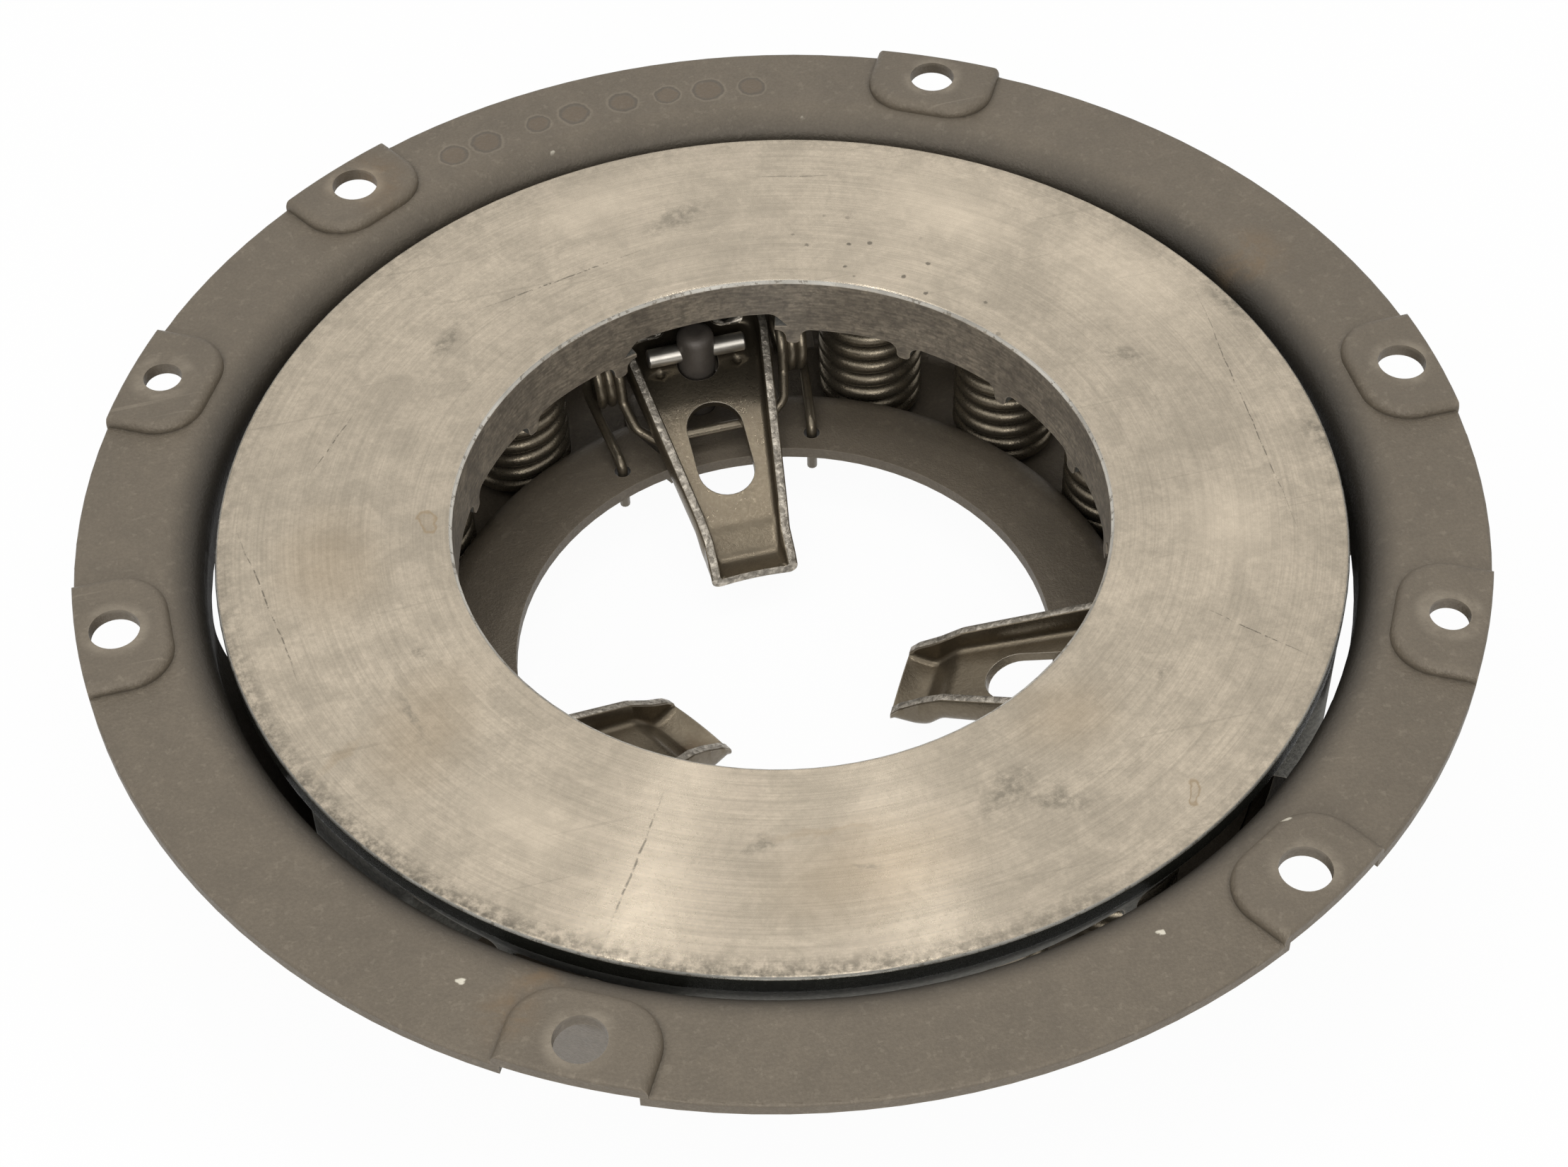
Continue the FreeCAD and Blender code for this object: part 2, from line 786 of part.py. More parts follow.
def make_anti_rattle():
    """Wire spring: a crossbar under the lever, two coils and two outer legs."""
    bend = 2 * wire_radius
    low = -coil_depth - coil_mean_radius
    z_bar = -crossbar_depth
    half = crossbar_half_width
    arm_start = crossbar_distance + arm_offset
    spring = rod([
        (coil_distance, coil_side, low), (arm_start, coil_side, z_bar), (crossbar_distance, half, z_bar),
        (crossbar_distance, -half, z_bar), (arm_start, -coil_side, z_bar), (coil_distance, -coil_side, low),
    ], bend)
    for side in (-1, 1):
        near = side * (coil_side - wire_radius - coil_fullness)
        far = side * (coil_side + coil_pitch + wire_radius + coil_fullness)
        spring = spring.fuse(coil_tube(min(near, far), abs(far - near)))
        outer = side * (coil_side + coil_pitch)
        spring = spring.fuse(rod([
            (coil_distance, outer, low), (leg_hole_distance, side * leg_hole_side, leg_knee_height),
            (leg_hole_distance, side * leg_hole_side, annulus_bottom - leg_tail),
        ], bend))
    return spring


def coil_tube(start, length):
    """The closed turns of one coil as a short tube across the lever."""
    base = point(coil_distance, start, -coil_depth)
    across = point(0, 1, 0)
    wall = wire_radius + coil_fullness
    outside = Part.makeCylinder(coil_mean_radius + wall, length, base, across)
    inside = Part.makeCylinder(coil_mean_radius - wall, length, base, across)
    return outside.cut(inside)


def make_spring():
    """Envelope of one pressure spring between the cover and the ring."""
    tube = cylinder(spring_outer_radius, floor_top, ring_bottom, spring_circle_radius)
    core = cylinder(spring_inner_radius, floor_top, ring_bottom, spring_circle_radius)
    return tube.cut(core)


def write(name, shape):
    """Write one sub-part, and say so where it isn't one sound solid."""
    solids = shape.Solids
    if not shape.isValid() or len(solids) != 1:
        print("WARNING", name, "valid", shape.isValid(), "solids", len(solids))
    shape.exportStep("parts/" + name + ".step")


def main():
    os.makedirs("parts", exist_ok=True)
    write("cover", make_cover())
    write("pressure_ring", make_pressure_ring())
    lever_parts = {
        "release_lever": make_lever(),
        "lever_eyebolt": make_eyebolt(),
        "fulcrum_pin": make_fulcrum_pin(),
        "adjusting_nut": make_nut(),
        "lever_strut": make_strut(),
        "anti_rattle_spring": make_anti_rattle(),
    }
    for number, angle in enumerate(lever_angles(), 1):
        for name, shape in lever_parts.items():
            write(name + "_" + str(number), turned(shape, angle))
    spring = make_spring()
    for number, angle in enumerate(spring_angles(), 1):
        write("pressure_spring_%02d" % number, turned(spring, angle))


main()
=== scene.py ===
import bpy
import bmesh
import math
from mathutils import Matrix, Vector


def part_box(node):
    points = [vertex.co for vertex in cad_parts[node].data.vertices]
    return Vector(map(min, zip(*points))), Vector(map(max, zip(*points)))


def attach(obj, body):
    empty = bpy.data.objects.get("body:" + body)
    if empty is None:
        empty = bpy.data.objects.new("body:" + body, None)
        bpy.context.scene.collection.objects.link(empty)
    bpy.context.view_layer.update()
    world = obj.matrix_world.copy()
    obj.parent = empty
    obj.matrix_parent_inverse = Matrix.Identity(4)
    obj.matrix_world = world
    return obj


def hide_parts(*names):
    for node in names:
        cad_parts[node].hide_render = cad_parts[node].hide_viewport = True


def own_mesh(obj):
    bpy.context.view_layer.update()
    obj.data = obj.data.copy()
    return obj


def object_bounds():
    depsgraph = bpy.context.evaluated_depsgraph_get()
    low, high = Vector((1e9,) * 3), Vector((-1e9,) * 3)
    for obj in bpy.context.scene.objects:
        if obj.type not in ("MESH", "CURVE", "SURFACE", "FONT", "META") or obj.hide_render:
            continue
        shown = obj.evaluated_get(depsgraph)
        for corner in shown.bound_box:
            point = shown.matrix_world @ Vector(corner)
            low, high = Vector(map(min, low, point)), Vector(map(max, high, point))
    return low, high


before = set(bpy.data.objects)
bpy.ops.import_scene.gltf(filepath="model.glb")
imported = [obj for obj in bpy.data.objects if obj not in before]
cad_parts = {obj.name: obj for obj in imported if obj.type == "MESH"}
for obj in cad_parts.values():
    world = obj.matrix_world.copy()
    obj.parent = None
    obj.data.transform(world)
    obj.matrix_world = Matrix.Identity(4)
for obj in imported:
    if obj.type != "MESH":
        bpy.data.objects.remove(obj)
cad_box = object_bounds()

# View: the photograph looks down on the friction face from between two levers.
# The camera was placed from the circles of the ring, the bore and the bolt holes,
# and the frame is 2219 by 1652 pixels.
camera_elevation = math.radians(48.67)
camera_heading = math.radians(13.9)
camera_roll = math.radians(-1.486)
camera_distance = 0.638
camera_shift_right = -0.00063
camera_shift_up = 0.01622
face_height = -0.0049
focal_length = 69.41
film_width = 36.0
nearest_seen = 0.01

ahead = Vector((math.cos(camera_elevation) * math.sin(camera_heading),
                math.cos(camera_elevation) * math.cos(camera_heading),
                -math.sin(camera_elevation)))
level_right = Vector((math.cos(camera_heading), -math.sin(camera_heading), 0.0))
level_up = level_right.cross(ahead)
right = level_right * math.cos(camera_roll) + level_up * math.sin(camera_roll)
up = level_up * math.cos(camera_roll) - level_right * math.sin(camera_roll)
place = Vector((0, 0, face_height)) - ahead * camera_distance
place -= right * camera_shift_right + up * camera_shift_up

camera_data = bpy.data.cameras.new("camera")
camera_data.lens = focal_length
camera_data.sensor_width = film_width
camera_data.clip_start = nearest_seen
turn = Matrix((right, up, -ahead)).transposed()


def placed(name, data):
    """An object of the scene that holds a mesh, a lamp or a camera."""
    made = bpy.data.objects.new(name, data)
    bpy.context.scene.collection.objects.link(made)
    return made


camera = placed("camera", camera_data)
camera.matrix_world = Matrix.Translation(place) @ turn.to_4x4()
bpy.context.scene.camera = camera
bpy.context.scene.view_settings.view_transform = "Standard"


# Cover: one steel pressing with a dull grey-brown phosphate finish, slightly
# oiled. The pads that meet the flywheel are rubbed, and the holes have a worn
# ring. A row of round blots, some pale specks and brown stains lie on the flange.
cover_colour = (0.166, 0.137, 0.100)
cover_dark = (0.085, 0.070, 0.052)
cover_rubbed = (0.32, 0.275, 0.210)
# near-black colour of painted shade, for the creases and the inner side of the wall
cover_shade_colour = (0.016, 0.014, 0.011)
blot_colour = (0.115, 0.078, 0.046)
speck_colour = (0.62, 0.58, 0.48)
rust_colour = (0.20, 0.128, 0.062)
bolt_circle = 0.1397
bolt_hole = 0.0052
bolts = (6, 0.0)
dowels = (2, 150.0)
worn_width = 0.0030
wall_inside = (0.1120, 0.1212)
wall_blend = (0.0045, 0.0088)
flange_level = (-0.0042, -0.0030)
pad_level = (-0.0012, -0.0002)
blot_size = 3.4
blot_spread = 0.4
blot_circle = 135.4
blot_angles = (109.6, 105.9, 100.2, 96.3, 91.2, 86.6, 82.4, 78.0)
# specks and stains on the flange: x, y and half width in mm, as the blots are
flange_specks = ((-22.5, 123.1, 0.7), (-2.5, 123.9, 0.7), (37.4, 119.0, 0.7), (39.7, -126.1, 0.7),
                 (70.7, -108.8, 0.7), (-88.0, -101.0, 0.7))
flange_stains = ((-67.2, 120.9, 7.0), (-81.5, -111.0, 5.0), (-75.0, -104.5, 4.0), (122.0, 44.0, 6.0))


def new_material(name):
    material = bpy.data.materials.new(name)
    material.use_nodes = True
    tree = material.node_tree
    tree.nodes.clear()
    shader = tree.nodes.new("ShaderNodeBsdfPrincipled")
    output = tree.nodes.new("ShaderNodeOutputMaterial")
    tree.links.new(shader.outputs["BSDF"], output.inputs["Surface"])
    return material, tree, shader


def feed(tree, socket, value):
    """Gives a socket a value, a colour or another socket."""
    if isinstance(value, bpy.types.NodeSocket):
        tree.links.new(value, socket)
    elif isinstance(value, tuple) and len(value) == 3 and socket.type == "RGBA":
        socket.default_value = value + (1.0,)
    else:
        socket.default_value = value


def node(tree, kind, inputs=None, **settings):
    """A node with its settings and its inputs, given as values or as sockets."""
    made = tree.nodes.new("ShaderNode" + kind)
    for name, value in settings.items():
        setattr(made, name, value)
    for name, value in (inputs or {}).items():
        feed(tree, made.inputs[name], value)
    return made


def maths(tree, operation, first, second=0.5, third=None, clamp=False):
    made = node(tree, "Math", {0: first, 1: second}, operation=operation, use_clamp=clamp)
    if third is not None:
        feed(tree, made.inputs[2], third)
    return made.outputs[0]


def mix_colour(tree, share, first, second, blend="MIX"):
    made = tree.nodes.new("ShaderNodeMix")
    made.data_type = "RGBA"
    made.blend_type = blend
    for index, value in ((0, share), (6, first), (7, second)):
        feed(tree, made.inputs[index], value)
    return made.outputs[2]


def times(colour, factor):
    return tuple(min(1.0, share * factor) for share in colour)


def over(tree, base, mask, strength, colour):
    """A colour laid over the base by a mask and its strength."""
    return mix_colour(tree, maths(tree, "MULTIPLY", mask, strength), base, colour)


def surface(tree, shader, colour, roughness, bump_inputs):
    """Joins colour, roughness and the relief of the surface to the shader."""
    bump = node(tree, "Bump", bump_inputs)
    tree.links.new(colour, shader.inputs["Base Color"])
    tree.links.new(roughness, shader.inputs["Roughness"])
    tree.links.new(bump.outputs["Normal"], shader.inputs["Normal"])


def ramp(tree, value, low, high):
    """0 at low, 1 at high, smooth between."""
    made = node(tree, "MapRange", {"Value": value, "From Min": low, "From Max": high},
                interpolation_type="SMOOTHSTEP")
    return made.outputs["Result"]


def new_group(name, inputs, outputs):
    """An effect group whose sockets are (name, kind, default)."""
    group = bpy.data.node_groups.new(name, "ShaderNodeTree")
    for label, kind, value in inputs:
        socket = group.interface.new_socket(label, in_out="INPUT", socket_type="NodeSocket" + kind)
        if value is not None:
            socket.default_value = value
    for label, kind in outputs:
        group.interface.new_socket(label, in_out="OUTPUT", socket_type="NodeSocket" + kind)
    return group, group.nodes.new("NodeGroupInput"), group.nodes.new("NodeGroupOutput")


def use_group(tree, group, inputs):
    group_node = tree.nodes.new("ShaderNodeGroup")
    group_node.node_tree = group
    for name, value in inputs.items():
        feed(tree, group_node.inputs[name], value)
    return group_node


def place_on(tree):
    """The point on the part, in metres of its own frame."""
    return tree.nodes.new("ShaderNodeTexCoord").outputs["Object"]


def edge_wear_group():
    """Mask that is 1 on outer edges, broken up by noise."""
    group, enter, leave = new_group(
        "edge_wear", [("Place", "Vector", None), ("Width", "Float", 0.0006), ("Breakup", "Float", 0.5)],
        [("Mask", "Float")])
    bevel = node(group, "Bevel", {"Radius": enter.outputs["Width"]}, samples=6)
    plain = group.nodes.new("ShaderNodeNewGeometry")
    dot = node(group, "VectorMath", {0: bevel.outputs["Normal"], 1: plain.outputs["Normal"]},
               operation="DOT_PRODUCT")
    edge = ramp(group, maths(group, "SUBTRACT", 1.0, dot.outputs["Value"]), 0.005, 0.12)
    noise = node(group, "TexNoise", {"Vector": enter.outputs["Place"], "Scale": 420.0, "Detail": 4.0})
    broken = maths(group, "MULTIPLY", maths(group, "SUBTRACT", noise.outputs["Fac"], 0.5),
                   enter.outputs["Breakup"])
    mask = maths(group, "MULTIPLY", edge, maths(group, "ADD", broken, 0.8), clamp=True)
    group.links.new(mask, leave.inputs["Mask"])
    return group


def mottle_group():
    """Large soft patches and a fine speckle, each from 0 to 1."""
    group, enter, leave = new_group(
        "mottle", [("Place", "Vector", None), ("Patch Scale", "Float", 28.0),
                   ("Speck Scale", "Float", 900.0)], [("Patches", "Float"), ("Speckle", "Float")])
    point, patch_scale, speck_scale = enter.outputs[:3]
    patches = node(group, "TexNoise", {"Vector": point, "Scale": patch_scale, "Detail": 5.0,
                                       "Roughness": 0.62, "Distortion": 0.6})
    speckle = node(group, "TexNoise", {"Vector": point, "Scale": speck_scale, "Detail": 3.0,
                                       "Roughness": 0.7})
    group.links.new(ramp(group, patches.outputs["Fac"], 0.32, 0.68), leave.inputs["Patches"])
    group.links.new(ramp(group, speckle.outputs["Fac"], 0.3, 0.7), leave.inputs["Speckle"])
    return group


def scratch_group():
    """Thin straight scratches in two directions, as a mask."""
    group, enter, leave = new_group(
        "scratches", [("Place", "Vector", None), ("Amount", "Float", 0.5)], [("Mask", "Float")])
    total = None
    for angle, scale, seed in ((0.5, 14.0, 3.0), (1.9, 11.0, 8.0), (2.6, 17.0, 15.0)):
        spun = node(group, "Mapping", {"Vector": enter.outputs["Place"], "Rotation": (0.0, 0.0, angle),
                                       "Location": (seed, seed, 0.0), "Scale": (1.0, 46.0, 1.0)})
        lines = node(group, "TexNoise", {"Vector": spun.outputs["Vector"], "Scale": scale,
                                         "Detail": 2.0, "Roughness": 0.4})
        line = ramp(group, lines.outputs["Fac"], 0.715, 0.76)
        total = line if total is None else maths(group, "MAXIMUM", total, line)
    group.links.new(maths(group, "MULTIPLY", total, enter.outputs["Amount"], clamp=True),
                    leave.inputs["Mask"])
    return group


def occlusion_shade_group():
    """Mask of painted shade in folds and corners, from ambient occlusion."""
    group, enter, leave = new_group(
        "occlusion_shade", [("Reach", "Float", 0.006), ("Strength", "Float", 1.0)], [("Mask", "Float")])
    shade = node(group, "AmbientOcclusion", {"Distance": enter.outputs["Reach"]}, samples=6)
    closed = maths(group, "SUBTRACT", 1.0, shade.outputs["AO"])
    mask = maths(group, "MULTIPLY", ramp(group, closed, 0.15, 0.75), enter.outputs["Strength"], clamp=True)
    group.links.new(mask, leave.inputs["Mask"])
    return group


edge_wear = edge_wear_group()
mottle = mottle_group()
scratches = scratch_group()
occlusion_shade = occlusion_shade_group()


def mottled(tree, point, patch_scale, speck_scale):
    """Patches and speckle of the two scales."""
    scales = {"Place": point, "Patch Scale": patch_scale, "Speck Scale": speck_scale}
    return use_group(tree, mottle, scales).outputs


def product(tree, first, second):
    return maths(tree, "MULTIPLY", first, second)


def scaled(tree, value, factor, offset, clamp=False):
    return maths(tree, "MULTIPLY_ADD", value, factor, offset, clamp)


def length_of(tree, x, y):
    squares = maths(tree, "ADD", product(tree, x, x), product(tree, y, y))
    return maths(tree, "SQRT", squares)


def polar(tree, point):
    """Distance from the clutch axis, height, and the angle from -1 to 1 half turns."""
    parts = node(tree, "SeparateXYZ", {"Vector": point})
    x, y, height = parts.outputs
    angle = product(tree, maths(tree, "ARCTAN2", y, x), 1 / math.pi)
    return length_of(tree, x, y), height, angle


def outward(tree, point):
    """How far the surface faces away from the clutch axis, from -1 to 1."""
    flat = node(tree, "VectorMath", {0: point, 1: (1.0, 1.0, 0.0)}, operation="MULTIPLY")
    away = node(tree, "VectorMath", {0: flat.outputs[0]}, operation="NORMALIZE")
    facing = tree.nodes.new("ShaderNodeNewGeometry").outputs["Normal"]
    match = node(tree, "VectorMath", {0: away.outputs[0], 1: facing}, operation="DOT_PRODUCT")
    return match.outputs["Value"]


def spot(tree, point, x, y, size, soft=0.4, stretch=1.0, heading=0.0):
    """A round or oval mark on the upper side at x, y, 1 inside and 0 outside."""
    local = node(tree, "Mapping", {"Vector": point, "Location": (x, y, 0.0),
                                   "Rotation": (0.0, 0.0, heading),
                                   "Scale": (stretch, 1.0, 0.0)}, vector_type="TEXTURE")
    length = node(tree, "VectorMath", {0: local.outputs["Vector"]}, operation="LENGTH")
    return ramp(tree, length.outputs["Value"], size * (1 + soft), size * (1 - soft))


def wobbled(tree, point, amount, scale):
    """The point, moved about by noise, so that a mark gets a ragged edge."""
    noise = node(tree, "TexNoise", {"Vector": point, "Scale": scale, "Detail": 3.0})
    centred = node(tree, "VectorMath", {0: noise.outputs["Color"], 1: (0.5, 0.5, 0.5)},
                   operation="SUBTRACT")
    scaled = node(tree, "VectorMath", {0: centred.outputs[0], "Scale": amount}, operation="SCALE")
    return node(tree, "VectorMath", {0: point, 1: scaled.outputs[0]}, operation="ADD").outputs[0]


def round_holes(tree, point, count, first):
    """Distance from the axis of the nearest of count holes on the bolt circle."""
    radius, _, angle = polar(tree, point)
    turns = scaled(tree, angle, count / 2, 0.5 - first * count / 360.0)
    folded = maths(tree, "SUBTRACT", maths(tree, "FRACT", turns), 0.5)
    swing = product(tree, folded, 2 * math.pi / count)
    along = scaled(tree, radius, maths(tree, "COSINE", swing, 0.0), -bolt_circle)
    across = product(tree, radius, maths(tree, "SINE", swing, 0.0))
    return length_of(tree, along, across)


def most(tree, masks):
    """The strongest of several masks at each place."""
    total = masks[0]
    for mask in masks[1:]:
        total = maths(tree, "MAXIMUM", total, mask)
    return total


def spots_of(tree, point, rows, soft, shrink=1.0):
    """All marks of a list as one mask, from x, y, half width and form."""
    marks = []
    for x, y, size, *form in rows:
        marks.append(spot(tree, point, x / 1000, y / 1000, size * shrink / 1000, soft, *form))
    return most(tree, marks)


def cover_material():
    material, tree, shader = new_material("phosphated_cover_steel")
    point = place_on(tree)
    radius, height, angle = polar(tree, point)
    patches, speckle = mottled(tree, point, 24.0, 1500.0)
    clouds, grains = mottled(tree, point, 130.0, 420.0)
    base = mix_colour(tree, patches, cover_colour, times(cover_colour, 0.90))
    base = over(tree, base, clouds, 0.22, cover_dark)
    base = over(tree, base, speckle, 0.28, cover_dark)
    base = over(tree, base, ramp(tree, grains, 0.78, 1.0), 0.16, cover_rubbed)
    # painted shade: folds and creases darkened by ambient occlusion
    folds = use_group(tree, occlusion_shade, {"Reach": 0.008, "Strength": 0.35})
    base = mix_colour(tree, folds.outputs["Mask"], base, cover_dark)
    crease = use_group(tree, occlusion_shade, {"Reach": 0.0016, "Strength": 0.80})
    base = mix_colour(tree, crease.outputs["Mask"], base, cover_shade_colour)

    # painted shade on the inner side of the wall, weaker at the back
    far_side = ramp(tree, maths(tree, "SINE", product(tree, angle, math.pi)), 0.30, 0.95)
    wall_shade = product(tree, ramp(tree, radius, wall_inside[1] + wall_blend[1], wall_inside[1]),
                   ramp(tree, radius, wall_inside[0] - wall_blend[0], wall_inside[0]))
    wall_shade = product(tree, wall_shade, scaled(tree, far_side, -0.60, 1.0))
    wall_shade = product(tree, wall_shade, ramp(tree, outward(tree, point), 0.30, 0.05))
    base = over(tree, base, wall_shade, 0.92, cover_shade_colour)

    # round blots with a dark outline and a pale halo
    bleeding = wobbled(tree, point, 0.0016, 420.0)
    blots = []
    for i, heading in enumerate(blot_angles):
        turn = math.radians(heading)
        blots.append((blot_circle * math.cos(turn), blot_circle * math.sin(turn),
                      blot_size + blot_spread * math.sin(2.3 * i)))
    blot = spots_of(tree, bleeding, blots, 0.07)
    inside = spots_of(tree, bleeding, blots, 0.14, 0.80)
    around = spots_of(tree, bleeding, blots, 0.07, 1.16)
    halo = maths(tree, "SUBTRACT", around, blot, clamp=True)
    outline = maths(tree, "SUBTRACT", blot, inside, clamp=True)
    base = over(tree, base, halo, 0.22, cover_rubbed)
    base = over(tree, base, inside, 0.42, blot_colour)
    base = over(tree, base, outline, 0.70, cover_dark)

    # brown stains and pale specks
    ragged = wobbled(tree, point, 0.0035, 330.0)
    stains = spots_of(tree, ragged, flange_stains, 0.8)
    base = over(tree, base, stains, product(tree, clouds, 0.55), rust_colour)
    specks = spots_of(tree, ragged, flange_specks, 0.3)
    base = over(tree, base, specks, ramp(tree, height, *flange_level), speck_colour)

    # rubbed rings about the holes, scratches and worn edges
    on_pad = ramp(tree, height, *pad_level)
    nearest = maths(tree, "MINIMUM", round_holes(tree, point, *bolts), round_holes(tree, point, *dowels))
    ring = ramp(tree, nearest, bolt_hole + worn_width, bolt_hole + 0.0002)
    worn = product(tree, ring, product(tree, on_pad, clouds))
    marks = use_group(tree, scratches, {"Place": point, "Amount": 0.5})
    rubbed = product(tree, marks.outputs["Mask"], scaled(tree, on_pad, 0.42, 0.03))
    wear = use_group(tree, edge_wear, {"Place": point, "Width": 0.0006, "Breakup": 1.4})
    light = most(tree, [product(tree, wear.outputs["Mask"], 0.30),
                        product(tree, worn, 0.5), rubbed])
    base = mix_colour(tree, light, base, cover_rubbed)

    shader.inputs["Metallic"].default_value = 0.3
    rough = scaled(tree, speckle, 0.10, 0.46)
    rough = scaled(tree, blot, -0.12, rough)
    relief = scaled(tree, grains, 0.5, speckle)
    surface(tree, shader, base, rough, {"Strength": 0.22, "Distance": 0.0004, "Height": relief})
    return material


def finish(node_name, material):
    """Gives a CAD node its material."""
    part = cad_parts[node_name]
    part.data.materials.clear()
    part.data.materials.append(material)


finish("cover", cover_material())


# Pressure ring: grey cast iron with a ground friction face, a turned bore and
# a turned band below the face; the taper, ribs and lugs are left as cast.
# One material tells the machined from the cast surfaces by where they lie.
face_colour = (0.635, 0.543, 0.421)
face_dark = (0.235, 0.205, 0.158)
face_brown = (0.33, 0.245, 0.150)
bore_colour = (0.165, 0.137, 0.100)
bore_light = (0.320, 0.268, 0.198)
bore_dark = (0.070, 0.056, 0.040)
land_shade_colour = (0.045, 0.045, 0.036)
cast_colour = (0.105, 0.102, 0.090)
chamfer_highlight_colour = (0.80, 0.77, 0.70)
ring_face = -0.0049
ring_land = 0.0046
ring_bore = 0.06946
ring_rim = 0.119
rim_break = 0.0006
bore_break = 0.0008
pitted_spot = (0.0435, 0.0610, 0.012)
grimy_rim = (0.007, 0.001)
grimy_heading = math.radians(128)
# smudges on the face: x, y and half width in mm, how much longer, and heading
grey_smudges = ((22.6, -85.0, 3.6, 1.8, 0.5), (31.5, -89.0, 2.2, 2.6, -0.35), (26.0, -84.0, 1.4, 3.0, 1.0),
                (0.2, 94.1, 2.2, 4.0, 0.34), (-58.5, 69.0, 2.0, 3.0, 0.86), (84.8, 23.0, 2.6, 1.7, -0.9),
                (112.4, 33.7, 2.0, 3.4, 1.9), (116.6, -10.2, 1.6, 4.0, 1.65), (-81.0, -18.8, 1.3, 1.3, 0.0),
                (-85.8, -34.8, 1.0, 6.0, -1.29), (-8.0, -94.5, 0.8, 2.4, -0.27),
                (-26.6, -83.9, 1.8, 1.5, 0.3),
                (62.7, -64.6, 1.2, 2.0, 1.2))
brown_smudges = ((-8.1, -95.4, 9.0, 1.8, 0.1), (-83.6, -38.3, 8.0, 1.6, 1.0), (-95.0, 10.0, 9.0, 1.4, 1.5),
                 (40.0, -70.0, 7.0, 1.2, 0.2), (-12.1, -85.2, 0.8, 15.0, -0.17),
                 (-100.8, -41.3, 1.0, 5.5, 0.59))
pale_smudges = ((92.0, 47.0, 9.0, 1.7, 2.15), (62.0, 78.0, 6.0, 2.0, 2.3), (-20.0, 103.0, 5.0, 2.4, 0.2),
                (88.0, -30.0, 8.0, 1.4, 1.3), (-70.0, -66.0, 6.0, 1.8, 2.3))
outlined_marks = ((-72.5, 16.1, 2.0, 1.9, 1.35), (57.7, -94.6, 1.6, 2.2, 1.1))
face_scratches = ((-108.8, 2.1, 0.16, 120.0, -1.44), (-29.5, 81.6, 0.22, 76.0, 0.23),
                  (-50.8, -82.2, 0.22, 70.0, -2.12), (104.5, 1.0, 0.13, 240.0, -1.63),
                  (-88.0, 45.0, 0.14, 60.0, 0.9), (84.0, -60.0, 0.14, 70.0, 2.3),
                  (30.0, 101.0, 0.13, 60.0, 2.9))


def soft_edges(tree, radius):
    """A normal that rounds every edge by radius."""
    return node(tree, "Bevel", {"Radius": radius}, samples=6).outputs["Normal"]


def lines_on(tree, scales, detail, roughness=0.5):
    """Fine lines: noise stretched by the scales of two coordinates."""
    (first, first_scale), (second, second_scale) = scales
    place = node(tree, "CombineXYZ", {"X": product(tree, first, first_scale),
                                      "Y": product(tree, second, second_scale)})
    noise = node(tree, "TexNoise", {"Vector": place.outputs["Vector"], "Scale": 1.0, "Detail": detail,
                                    "Roughness": roughness})
    return noise.outputs["Fac"]


